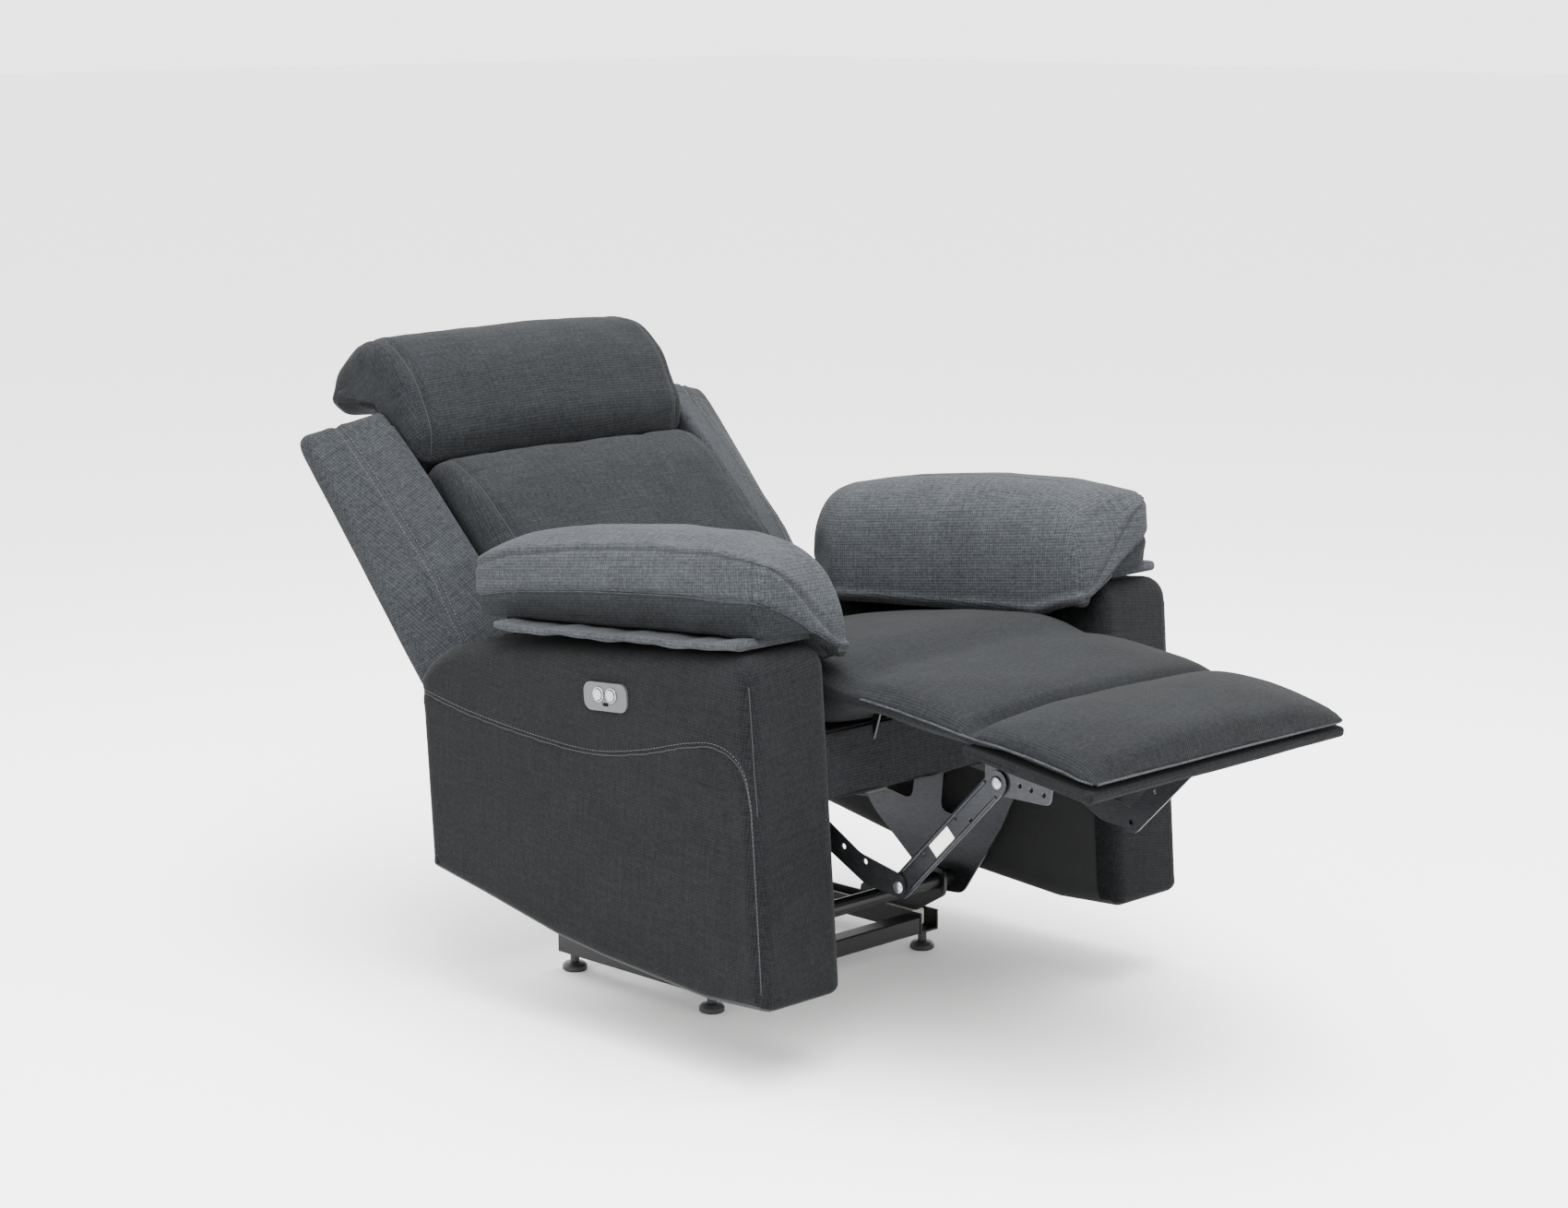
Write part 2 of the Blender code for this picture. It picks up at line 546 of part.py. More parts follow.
# ---- ottoman links -------------------------------------------------------------------------------
def links():
    along = Vector(KNUCKLE) - Vector(OTTOMAN_PIVOT)
    for side, sign in SIDES:
        rear = rounded([(LINK_HINGE[0] + 0.018, LINK_HINGE[1] + 0.006, 0.014),
                        (LINK_HINGE[0] - 0.004, LINK_HINGE[1] + 0.020, 0.014),
                        (KNUCKLE[0] + 0.070, KNUCKLE[1] + 0.040, 0.05),
                        (KNUCKLE[0] - 0.012, KNUCKLE[1] + 0.016, 0.014),
                        (KNUCKLE[0] - 0.012, KNUCKLE[1] - 0.015, 0.014),
                        (KNUCKLE[0] + 0.060, KNUCKLE[1] - 0.004, 0.05),
                        (LINK_HINGE[0] + 0.006, LINK_HINGE[1] - 0.020, 0.014)], 4)
        holes = [circle((KNUCKLE[0] + d, KNUCKLE[1] + d * 0.42 + 0.004), 0.004, 8)
                 for d in (0.060, 0.100, 0.140)]
        plate("rear_link_" + side, [rear, circle(LINK_HINGE, TORQUE_RADIUS + TOUCH)] + holes,
              sign * REAR_LINK_X, LINK_STEEL, GREY, body)
        pins = [circle(OTTOMAN_PIVOT, PIVOT_RADIUS), circle(KNUCKLE, 0.004, 8)]
        for share, offset in ((0.30, -0.009), (0.38, 0.009), (0.72, 0.006)):
            across = Vector((-along.y, along.x)).normalized() * offset
            spot = Vector(OTTOMAN_PIVOT) + along * share + across
            pins.append(circle(tuple(spot), 0.003, 8))
        plate("front_link_" + side, [capsule(OTTOMAN_PIVOT, KNUCKLE, LINK_WIDTH / 2)] + pins,
              sign * FRONT_LINK_X, LINK_STEEL, GREY, body)
    rod("torque_tube", TOUCH - PLATE_INNER - STEEL, PLATE_INNER + STEEL - TOUCH, *LINK_HINGE,
        TORQUE_RADIUS, BLACK, body, 16)


# ---- legrest, in its own level frame: y forward is minus, hinge at the origin --------------------
def legrest():
    half = LEG_HALF
    board_top = -0.0005
    rear = FOOT_REAR
    block("footrest_board", (-half + 0.005, -LEG_LENGTH, board_top - BOARD),
          (half - 0.005, rear, board_top), WOOD, leg, 0.004, 1)
    foot = rounded([(rear - TOUCH, board_top + TOUCH, 0.006), (rear - TOUCH, PAD_THICK - 0.006, 0.02),
                    (rear - 0.11, PAD_THICK + 0.012, 0.12), (-LEG_LENGTH - 0.004, PAD_THICK - 0.012, 0.02),
                    (-LEG_LENGTH - 0.004, board_top + TOUCH, 0.006)], 4)
    plate("footrest_pad", [foot], 0, 2 * half, CLOTH, leg, rounding=0.012)
    calf = rounded([(-0.026, -0.010, 0.01), (-0.026, 0.030, 0.02), (-0.13, PAD_THICK + 0.004, 0.10),
                    (rear + 0.004, PAD_THICK - 0.008, 0.02), (rear + 0.004, -0.010, 0.006)], 4)
    plate("calf_pad", [calf], 0, 2 * half, CLOTH, leg, rounding=0.010)
    under = board_top - BOARD - TOUCH
    pivot_y, pivot_z = rear - OTTOMAN_INSET, -OTTOMAN_DROP
    for side, sign in SIDES:
        arm = rounded([(0.013, -0.010, 0.010), (0.008, 0.011, 0.010), (-0.014, 0.011, 0.008),
                       (-0.022, under, 0.006), (rear - 0.050, under, 0.002),
                       (rear - 0.050, under - 0.018, 0.010), (-0.004, under - 0.018, 0.014)], 4)
        plate("chaise_arm_" + side, [arm, circle((0, 0), PIVOT_RADIUS - 0.001)], sign * CHAISE_ARM,
              STEEL, BLACK, leg)
        bracket = rounded([(rear - 0.016, under, 0.002), (rear - 0.134, under, 0.002),
                           (rear - 0.134, pivot_z - 0.006, 0.010), (pivot_y, pivot_z - 0.018, 0.016),
                           (rear - 0.020, pivot_z - 0.004, 0.010)], 4)
        holes = [circle((pivot_y - d, pivot_z + 0.006), 0.0035, 8) for d in (0.036, 0.056, 0.078)]
        plate("ottoman_bracket_" + side, [bracket] + holes, sign * BRACKET_X, LINK_STEEL, GREY, leg)


# ---- backrest, in its own upright frame: hinge at the origin -------------------------------------
def backrest():
    frame_half = BACK_HALF
    frame_y = 0.045
    outlines = [rounded([(-frame_half, 0.020, 0.01), (frame_half, 0.020, 0.01),
                         (frame_half, BACK_HEIGHT + 0.05, 0.03),
                         (-frame_half, BACK_HEIGHT + 0.05, 0.03)], 3)]
    for low in (0.120, 0.480):
        outlines.append(rounded([(-0.06, low, 0.017), (0.06, low, 0.017), (0.06, low + 0.035, 0.017),
                                 (-0.06, low + 0.035, 0.017)], 4))
    plate("back_board", outlines, frame_y, 0.018, WOOD, back, plane="XZ")
    block("back_panel", (-RAIL_OUT, BACK_REAR + TOUCH - 0.006, 0.0), (RAIL_OUT, BACK_REAR, BACK_HEIGHT),
          CLOTH, back, 0.002, 1)
    start = math.degrees(math.acos(-0.036 / WING_RADIUS))
    stop = math.degrees(math.acos(BACK_REAR / WING_RADIUS))
    wing = rounded([(y, z, 0) for y, z in arc((0, 0), WING_RADIUS, start, stop, 6)]
                   + [(BACK_REAR, BACK_HEIGHT, 0.030), (-0.014, BACK_HEIGHT, 0.030),
                      (BACK_FRONT + 0.010, 0.265, 0.40)], 5)
    wing_inner = RAIL_OUT + 0.002
    wing_outer = WIDTH / 2 - 0.026
    for side, sign in SIDES:
        made = solid(plate("wing_" + side, [wing], sign * (wing_inner + wing_outer) / 2,
                           wing_outer - wing_inner, CLOTH, back, rounding=0.010))
        # the front face turns back towards the outer side, and a little with height
        slope = block("wing_slope_" + side, (-0.3, -0.2, -0.4), (0.3, 0.0, 0.5), None, back,
                      collection=cutters)
        slope.location = (sign * wing_inner, -0.045, 0.292)
        slope.rotation_euler = (-0.116, 0.0, sign * WING_SLOPE)
        cut(made, slope)
        bracket = rounded([(0.014, -0.014, 0.012), (-0.014, -0.014, 0.012), (-0.016, 0.060, 0.03),
                           (0.030, 0.120, 0.03), (0.030, 0.240, 0.01), (0.054, 0.240, 0.01),
                           (0.054, 0.090, 0.03)], 3)
        plate("back_bracket_" + side, [bracket, circle((0, 0), PIVOT_RADIUS + PLAY)],
              sign * (frame_half + TOUCH + STEEL / 2), STEEL, GREY, back)
        rod("back_pivot_" + side, *sorted((sign * (PLATE_INNER - 0.002),
                                           sign * (frame_half + STEEL + 0.003))),
            *BACK_HINGE, PIVOT_RADIUS, CHROME, body, 12)
    front = frame_y - 0.009 - TOUCH
    lumbar = rounded([(front, 0.100, 0.01), (front, CREASE_HEIGHT - 0.002, 0.01),
                      (-0.010, CREASE_HEIGHT - 0.002, 0.02), (-0.062, CREASE_HEIGHT - 0.087, 0.12),
                      (-0.084, 0.220, 0.12), (-0.060, 0.110, 0.03)], 4)
    plate("lumbar_cushion", [lumbar], 0, 2 * LUMBAR_HALF, CLOTH, back, rounding=0.014)
    head = rounded([(front, CREASE_HEIGHT + 0.002, 0.01), (front, BACK_HEIGHT + 0.052, 0),
                    (0.060, BACK_HEIGHT + 0.052, 0), (0.108, BACK_HEIGHT + 0.060, 0.02),
                    (0.104, HEAD_TOP - 0.025, 0.03), (0.040, HEAD_TOP, 0.04),
                    (-0.030, HEAD_TOP - 0.023, 0.05), (-0.066, HEAD_TOP - 0.125, 0.08), (-0.010, CREASE_HEIGHT + 0.002, 0.02)], 4)
    plate("headrest_cushion", [head], 0, 2 * HEAD_HALF, CLOTH, back, rounding=0.020, segments=3)


base()
carriage()
arms()
switch()
seat()
mechanism()
links()
legrest()
backrest()
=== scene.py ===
import json
import math

import bmesh
import bpy
import numpy as np
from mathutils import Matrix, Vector
from mathutils.bvhtree import BVHTree
from mathutils.geometry import delaunay_2d_cdt


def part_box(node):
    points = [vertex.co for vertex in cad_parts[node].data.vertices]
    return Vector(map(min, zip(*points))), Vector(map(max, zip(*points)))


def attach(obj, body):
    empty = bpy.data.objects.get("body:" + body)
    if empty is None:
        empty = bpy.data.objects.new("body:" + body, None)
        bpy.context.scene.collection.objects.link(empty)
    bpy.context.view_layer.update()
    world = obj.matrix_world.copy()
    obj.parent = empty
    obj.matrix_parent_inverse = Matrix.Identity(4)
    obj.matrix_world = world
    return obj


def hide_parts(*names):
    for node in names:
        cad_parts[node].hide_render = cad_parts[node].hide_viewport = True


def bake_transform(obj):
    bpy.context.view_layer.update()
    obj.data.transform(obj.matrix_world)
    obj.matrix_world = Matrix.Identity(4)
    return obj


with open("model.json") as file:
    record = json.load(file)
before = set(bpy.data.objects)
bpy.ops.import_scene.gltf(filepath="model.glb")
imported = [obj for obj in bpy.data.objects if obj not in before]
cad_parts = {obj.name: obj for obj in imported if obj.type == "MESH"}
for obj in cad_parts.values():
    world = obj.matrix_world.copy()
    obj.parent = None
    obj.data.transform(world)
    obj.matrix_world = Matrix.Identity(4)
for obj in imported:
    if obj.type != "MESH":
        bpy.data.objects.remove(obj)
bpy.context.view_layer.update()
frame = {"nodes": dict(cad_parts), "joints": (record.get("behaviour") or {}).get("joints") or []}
nodes = frame["nodes"]
joints = {j["name"]: j for j in frame["joints"]}
print("frame loaded:", len(nodes), "nodes")

# Row frame: the chair faces -Y. Three tilted frames hold most of the shapes: the body (level when the
# chair is closed), the back (z up the back, y to its rear) and the legrest (y back to the hinge, z up).
legHinge = np.array(joints["legrest_fold"]["pos_m"])
backHinge = np.array(joints["back_recline"]["pos_m"])
tipAngle = math.radians(joints["body_tip"]["range_deg"][1])
leanAngle = math.radians(37.0)      # the back's lean from the body's upright
dropAngle = math.radians(11.6)      # the legrest below the body's level
legHingeLevel = np.array([-0.360, 0.500])   # y, z of the legrest's hinge on the level body


def turned(y, z, origin, angle):
    # (y, z) turned by angle about X and moved to origin
    c, s = math.cos(angle), math.sin(angle)
    return origin[0] + y * c - z * s, origin[1] + y * s + z * c


bodyOrigin = np.array(turned(*-legHingeLevel, legHinge[1:], -tipAngle))
frames = {
    "body": (bodyOrigin, -tipAngle),
    "back": (backHinge[1:], -tipAngle - leanAngle),
    "leg": (legHinge[1:], dropAngle - tipAngle),
    "row": (np.zeros(2), 0.0),
}


def toRow(points, which):
    points = np.array(points, float)
    origin, angle = frames[which]
    y, z = turned(points[..., 1], points[..., 2], origin, angle)
    return np.stack([points[..., 0], y, z], -1)


armX = {                        # distances from the middle, read from the frame
    "inner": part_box("arm_cover_left")[0].x,
    "outer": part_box("arm_cover_left")[1].x,
    "legHalf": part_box("footrest_pad")[1].x,
    "wingInner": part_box("wing_left")[0].x,
    "wingOuter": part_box("wing_left")[1].x,
    "lumbarHalf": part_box("lumbar_cushion")[1].x,
    "headHalf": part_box("headrest_cushion")[1].x,
}
sides = (("Right", "right", -1), ("Left", "left", 1))


def srgb(text):
    value = np.array([int(text[i:i + 2], 16) for i in (1, 3, 5)]) / 255
    linear = np.where(value <= 0.04045, value / 12.92, ((value + 0.055) / 1.055) ** 2.4)
    return (*linear.tolist(), 1.0)


def addNode(tree, kind, settings=None, **inputs):
    made = tree.nodes.new(kind)
    for key, value in (settings or {}).items():
        setattr(made, key, value)
    for key, value in inputs.items():
        numbered = key[0] == "i" and key[1:].isdigit()
        socket = made.inputs[int(key[1:]) if numbered else key.replace("_", " ")]
        if isinstance(value, bpy.types.Node):
            value = value.outputs[0]
        if isinstance(value, bpy.types.NodeSocket):
            tree.links.new(value, socket)
        else:
            socket.default_value = value
    return made


def newMaterial(name):
    made = bpy.data.materials.new(name)
    made.use_nodes = True
    tree = made.node_tree
    tree.nodes.clear()
    out = tree.nodes.new("ShaderNodeOutputMaterial")
    shader = tree.nodes.new("ShaderNodeBsdfPrincipled")
    tree.links.new(shader.outputs["BSDF"], out.inputs["Surface"])
    return made, tree, shader


cloth = {
    "yarnPitch": 4.3,          # mm between yarns
    "dark": "#232527",
    "middle": "#323437",
    "light": "#424548",
    "bump": 0.45,
    "sheen": 0.02,
}


def wovenCloth(name, lightAndShadeTone=1.0, ribs=0.0):
    # Polyester chenille basket weave: matt and soft, each yarn a small round bump, with paler and darker
    # slubs.
    made, tree, shader = newMaterial(name)
    scale = 1000.0 / cloth["yarnPitch"]
    calc = "ShaderNodeMath"
    times, plus, minus = {"operation": "MULTIPLY"}, {"operation": "ADD"}, {"operation": "SUBTRACT"}
    timesPlus, sine, size = {"operation": "MULTIPLY_ADD"}, {"operation": "SINE"}, {"operation": "ABSOLUTE"}
    uv = addNode(tree, "ShaderNodeUVMap", {"uv_map": "weave"})
    parted = addNode(tree, "ShaderNodeSeparateXYZ", i0=uv)
    # |sin| across each yarn; the product of both waves tells which yarn lies on top
    across = addNode(tree, calc, times, i0=parted.outputs[0], i1=math.pi * scale)
    across = addNode(tree, calc, sine, i0=across)
    along = addNode(tree, calc, times, i0=parted.outputs[1], i1=math.pi * scale)
    along = addNode(tree, calc, sine, i0=along)
    warp = addNode(tree, calc, size, i0=across)
    weft = addNode(tree, calc, size, i0=along)
    over = addNode(tree, calc, timesPlus, i0=addNode(tree, calc, times, i0=across, i1=along), i1=0.5, i2=0.5)
    under = addNode(tree, calc, minus, i0=1.0, i1=over)
    height = addNode(tree, calc, {"operation": "MAXIMUM"}, i0=addNode(tree, calc, times, i0=warp, i1=over),
                     i1=addNode(tree, calc, times, i0=weft, i1=under))
    if ribs:
        plain = addNode(tree, calc, times, i0=height, i1=1 - ribs)
        height = addNode(tree, calc, timesPlus, i0=warp, i1=ribs, i2=plain)
    # slubs: noise drawn out along each yarn direction
    stretchA = addNode(tree, "ShaderNodeMapping", i0=uv, i3=(scale * 0.55, scale * 0.07, 1))
    stretchB = addNode(tree, "ShaderNodeMapping", i0=uv, i3=(scale * 0.07, scale * 0.55, 1))
    slubA = addNode(tree, "ShaderNodeTexNoise", Vector=stretchA, Scale=1.0, Detail=2.0)
    slubB = addNode(tree, "ShaderNodeTexNoise", Vector=stretchB, Scale=1.0, Detail=2.0)
    slub = addNode(tree, calc, plus, i0=slubA, i1=slubB)
    where = addNode(tree, "ShaderNodeTexCoord").outputs["Object"]
    cloud = addNode(tree, "ShaderNodeTexNoise", Vector=where, Scale=9.0, Detail=3.0)
    fleck = addNode(tree, "ShaderNodeTexNoise", Vector=uv, Scale=scale * 0.8, Detail=1.0)
    # share = 0.42 height + 0.31 slub + 0.7 fleck + 0.22 cloud - 0.46
    share = addNode(tree, calc, timesPlus, i0=height, i1=0.42, i2=-0.46)
    share = addNode(tree, calc, timesPlus, i0=slub, i1=0.31, i2=share)
    share = addNode(tree, calc, timesPlus, i0=fleck, i1=0.70, i2=share)
    share = addNode(tree, calc, timesPlus, i0=cloud, i1=0.22, i2=share)
    ramp = addNode(tree, "ShaderNodeValToRGB", i0=share)
    # tone scales all three colours of this copy: painted light and shade, with darker copies standing for panels
    # in shade
    lightAndShadeColours = [np.array(srgb(cloth[k]))[:3] * lightAndShadeTone for k in ("dark", "middle", "light")]
    ramp.color_ramp.elements[0].position = 0.22
    ramp.color_ramp.elements[0].color = (*lightAndShadeColours[0], 1)
    ramp.color_ramp.elements[1].position = 0.86
    ramp.color_ramp.elements[1].color = (*lightAndShadeColours[2], 1)
    middle = ramp.color_ramp.elements.new(0.52)
    middle.color = (*lightAndShadeColours[1], 1)
    bump = addNode(tree, "ShaderNodeBump", Strength=cloth["bump"], Distance=0.0009, Height=height)
    tree.links.new(ramp.outputs[0], shader.inputs["Base Color"])
    tree.links.new(bump.outputs[0], shader.inputs["Normal"])
    shader.inputs["Roughness"].default_value = 0.92
    shader.inputs["Sheen Weight"].default_value = cloth["sheen"]
    shader.inputs["Sheen Roughness"].default_value = 0.55
    shader.inputs["Specular IOR Level"].default_value = 0.05
    return made


def plainSurface(name, colours, roughness, grain, bumpDepth, metallic=0.0, stretch=(1, 1, 1), spread=0.06):
    # Two close colours mixed by grain of a real size in mm, with roughness and height from the same grain
    made, tree, shader = newMaterial(name)
    where = addNode(tree, "ShaderNodeTexCoord").outputs["Object"]
    laid = addNode(tree, "ShaderNodeMapping", i0=where, i3=stretch)
    fine = addNode(tree, "ShaderNodeTexNoise", Vector=laid, Scale=1000.0 / grain, Detail=3.0)
    broad = addNode(tree, "ShaderNodeTexNoise", Vector=laid, Scale=14.0, Detail=2.0)
    both = addNode(tree, "ShaderNodeMath", {"operation": "ADD"}, i0=fine, i1=broad)
    share = addNode(tree, "ShaderNodeMath", {"operation": "MULTIPLY"}, i0=both, i1=0.5)
    ramp = addNode(tree, "ShaderNodeValToRGB", i0=share)
    ramp.color_ramp.elements[0].position = 0.35
    ramp.color_ramp.elements[1].position = 0.65
    ramp.color_ramp.elements[0].color = srgb(colours[0])
    ramp.color_ramp.elements[1].color = srgb(colours[1])
    tree.links.new(ramp.outputs[0], shader.inputs["Base Color"])
    rough = addNode(tree, "ShaderNodeMath", {"operation": "MULTIPLY_ADD"}, i0=share, i1=spread * 2,
                    i2=roughness - spread)
    tree.links.new(rough.outputs[0], shader.inputs["Roughness"])
    bump = addNode(tree, "ShaderNodeBump", Strength=0.4, Distance=bumpDepth, Height=fine)
    tree.links.new(bump.outputs[0], shader.inputs["Normal"])
    shader.inputs["Metallic"].default_value = metallic
    return made


mats = {
    # one cloth in six copies, each darkened by its own tone: painted light and shade. The pads take the
    # lightest, lit copy; the back, wings, ribbed seat and legrest, pad undersides and arm sides take darker
    # copies as painted shade
    "cloth": wovenCloth("greyChenillePadsLitTone", 0.80),
    "clothBackShade": wovenCloth("greyChenilleBackShadeTone", 0.30),
    "clothWingShade": wovenCloth("greyChenilleWingsShadeTone", 0.50),
    "clothRibbedShade": wovenCloth("greyChenilleRibsShadeTone", 0.22, ribs=0.55),
    "clothUndersideShade": wovenCloth("greyChenillePadUndersideShadeTone", 0.34),
    "clothSideShade": wovenCloth("greyChenilleArmSideShadeTone", 0.19),
    # seam lines and folded seam edges: the same yarn, coloured far darker than the cloth as painted shade for
    # the crease along each seam; the topstitch thread keeps about the cloth's own colour
    "seam": plainSurface("seamCreaseShadeThread", ("#131416", "#1a1b1d"), 0.95, 0.8, 0.0002),
    "stitch": plainSurface("greyTopstitchThread", ("#2b2d2f", "#343638"), 0.8, 0.7, 0.0002),
    # polypropylene dust cloth and the black lining over the seat box: matt, almost no detail
    "lining": plainSurface("blackLiningCloth", ("#08090a", "#121315"), 0.95, 0.9, 0.0003),
    # powder-coated steel: fine orange peel, low gloss
    "blackSteel": plainSurface("blackPowderCoatedSteel", ("#0c0c0d", "#161618"), 0.42, 1.2, 0.00008, 0.4),
    # zinc-plated and blackened link steel: rolled streaks, soft reflections
    "greySteel": plainSurface("blackenedRolledSteel", ("#26272a", "#3a3b3e"), 0.38, 1.5, 0.00006, 0.85,
                              (1, 0.12, 1), 0.10),
    "rivet": plainSurface("plainRivetSteel", ("#7d7f82", "#a0a2a5"), 0.30, 1.0, 0.00004, 0.95),
    # nickel-chrome plate on the button caps: mirror-like, slight haze
    "chrome": plainSurface("satinChromePlate", ("#8e9093", "#a4a6a8"), 0.24, 0.9, 0.00002, 1.0),
    # moulded ABS: fine spark-eroded grain
    "plastic": plainSurface("blackMouldedAbs", ("#141517", "#1e2022"), 0.48, 0.7, 0.00008),
    "switchPlate": plainSurface("greyMouldedAbs", ("#3c3e3f", "#444647"), 0.40, 0.8, 0.00006, 0.25),
    # nylon 6 slide shoes: milky, slightly waxy
    "nylon": plainSurface("naturalNylon", ("#b7b5a9", "#c6c4b8"), 0.5, 1.0, 0.00005),
    # rotary-cut plywood: long grain, matt
    "plywood": plainSurface("birchPlywood", ("#8d6c46", "#b18f63"), 0.72, 1.6, 0.0001, 0.0, (1, 0.08, 1)),
    # jute webbing: coarse and dark
    "webbing": plainSurface("blackSeatWebbing", ("#0d0d0e", "#1c1c1e"), 0.95, 2.4, 0.0004),
    # uncoated paper sticker, left blank
    "paper": plainSurface("whitePaperSticker", ("#d9d8d3", "#e6e5e1"), 0.7, 0.8, 0.00003),
}
print("materials:", len(mats))


def ringFaces(count, around, first=0):
    # quads between neighbouring rings of a closed tube
    i, j = np.meshgrid(np.arange(count - 1), np.arange(around), indexing="ij")
    k = (j + 1) % around
    quads = np.stack([i * around + j, i * around + k, (i + 1) * around + k, (i + 1) * around + j], -1)
    return quads.reshape(-1, 4) + first


def smoothCurve(corners, count, closed=False):
    # Catmull-Rom through the corners, then spaced evenly by length
    p = np.array(corners, float)
    n = len(p)
    t = np.linspace(0, n if closed else n - 1, 24 * n, endpoint=not closed)
    i = np.floor(t).astype(int)
    f = (t - i)[:, None]
    near = [(i + k) % n if closed else np.clip(i + k, 0, n - 1) for k in (-1, 0, 1, 2)]
    a, b, c, d = (p[k] for k in near)
    q = b + 0.5 * f * (c - a + f * (2 * a - 5 * b + 4 * c - d + f * (3 * (b - c) + d - a)))
    if closed:
        q = np.vstack([q, q[:1]])
    return evenly(q, count, closed)


def evenly(q, count, closed=False):
    q = np.asarray(q, float)
    s = np.concatenate([[0], np.cumsum(np.linalg.norm(np.diff(q, axis=0), axis=1))])
    w = np.linspace(0, s[-1], count, endpoint=not closed)
    return np.stack([np.interp(w, s, q[:, k]) for k in range(q.shape[1])], -1)


def roundedOutline(corners, count, steps=7):
    # corners (y, z, radius) with an arc at each, spaced evenly round the closed outline
    p = np.array([c[:2] for c in corners], float)
    out = []
    for here, prev, then, r in zip(p, np.roll(p, 1, 0), np.roll(p, -1, 0), [c[2] for c in corners]):
        a, b = prev - here, then - here
        la, lb = np.linalg.norm(a), np.linalg.norm(b)
        a, b = a / la, b / lb
        half = math.acos(np.clip(a @ b, -1, 1)) / 2
        if r < 1e-4 or half > math.radians(88):
            out.append(here[None])
            continue
        reach = min(r / math.tan(half), 0.49 * la, 0.49 * lb)
        r = reach * math.tan(half)
        centre = here + (a + b) / np.linalg.norm(a + b) * r / math.sin(half)
        start, stop = here + a * reach - centre, here + b * reach - centre
        turn = math.atan2(start[0] * stop[1] - start[1] * stop[0], start @ stop)
        t = np.linspace(0, turn, steps)
        out.append(centre + np.stack([start[0] * np.cos(t) - start[1] * np.sin(t),
                                      start[0] * np.sin(t) + start[1] * np.cos(t)], -1))
    q = np.vstack(out)
    return evenly(np.vstack([q, q[:1]]), count, True)


def outwardNormals(outline):
    step = np.roll(outline, -1, 0) - np.roll(outline, 1, 0)
    normal = np.stack([step[:, 1], -step[:, 0]], -1)
    normal /= np.linalg.norm(normal, axis=1, keepdims=True) + 1e-12
    y, z = outline.T
    area = 0.5 * np.sum(y * np.roll(z, -1) - z * np.roll(y, -1))
    return normal * np.sign(area)


def slab(outline, half, radius, bulge=0.0, crown=0.0, crownWhere=None, across=40, spine=0.45):
    # A side outline carried across X. Near each side it draws in by a quarter circle of the radius; each
    # side face runs in to a spine and bulges out. crown swells the outline between the sides.
    normal = outwardNormals(outline)
    weight = np.ones(len(outline)) if crownWhere is None else crownWhere(outline)
    centre = outline.mean(0)
    low, high = outline.min(0), outline.max(0)
    long = int(np.argmax(high - low))
    inner = np.tile(centre, (len(outline), 1))
    inner[:, long] = centre[long] + np.clip(outline[:, long] - centre[long], -1, 1) * spine
    turn = np.linspace(math.pi / 2, 0, 9)
    edgeX = half - radius + radius * np.sin(turn)
    edgeIn = radius * (1 - np.cos(turn))
    share = np.linspace(0, 1, 14)[:-1] ** 0.8
    rings = []
    for s in share:        # side face, spine to rim
        ring = inner + (outline - normal * radius - inner) * s
        rings.append((-(half + bulge * (1 - s ** 2)), ring))
    rings += [(-x, outline - normal * d) for x, d in zip(edgeX, edgeIn)]
    for x in np.linspace(-1, 1, across + 2)[1:-1] * (half - radius):
        swell = crown * (1 - (x / half) ** 2)
        rings.append((x, outline + normal * (swell * weight)[:, None]))
    rings += [(x, outline - normal * d) for x, d in zip(edgeX[::-1], edgeIn[::-1])]
    for s in share[::-1]:
        ring = inner + (outline - normal * radius - inner) * s
        rings.append((half + bulge * (1 - s ** 2), ring))
    xs = np.array([r[0] for r in rings])[:, None]
    flat = np.array([r[1] for r in rings])
    return np.concatenate([np.repeat(xs, len(outline), 1)[..., None], flat], -1)


def closeRings(points):
    # one vertex in the middle of each end ring, joined to it by triangles written as quads
    count, around = points.shape[:2]
    flat = points.reshape(-1, 3)
    faces = ringFaces(count, around)
    caps = np.stack([points[0].mean(0), points[-1].mean(0)])
    j = np.arange(around)
    k = (j + 1) % around
    start = np.stack([k, j, np.full(around, len(flat))], -1)
    end = np.stack([j, k, np.full(around, len(flat))], -1) + (count - 1) * around
    end[:, 2] = len(flat) + 1
    return np.vstack([flat, caps]), faces.tolist() + start.tolist() + end.tolist()


def joinedMesh(name, points, faces, material, body=None):
    mesh = bpy.data.meshes.new(name)
    mesh.from_pydata(points.tolist(), [], faces)
    made = bpy.data.objects.new(name, mesh)
    bpy.context.scene.collection.objects.link(made)
    work = bmesh.new()
    work.from_mesh(mesh)
    bmesh.ops.remove_doubles(work, verts=work.verts, dist=0.00008)
    bmesh.ops.dissolve_degenerate(work, edges=work.edges, dist=0.00004)
    bmesh.ops.recalc_face_normals(work, faces=work.faces)
    work.to_mesh(mesh)
    work.free()
    mesh.shade_smooth()
    mesh.materials.append(mats[material])
    if body:
        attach(made, body)
    return made


def ringsMesh(name, points, material, which="row", body=None):
    flat, faces = closeRings(toRow(points, which))
    return joinedMesh(name, flat, faces, material, body)


def readPoints(made):
    co = np.empty(len(made.data.vertices) * 3, np.float32)
    made.data.vertices.foreach_get("co", co)
    no = np.empty(len(made.data.vertices) * 3, np.float32)
    made.data.vertices.foreach_get("normal", no)
    return co.reshape(-1, 3).astype(float), no.reshape(-1, 3).astype(float)


def writePoints(made, co):
    made.data.vertices.foreach_set("co", co.astype(np.float32).ravel())
    made.data.update()


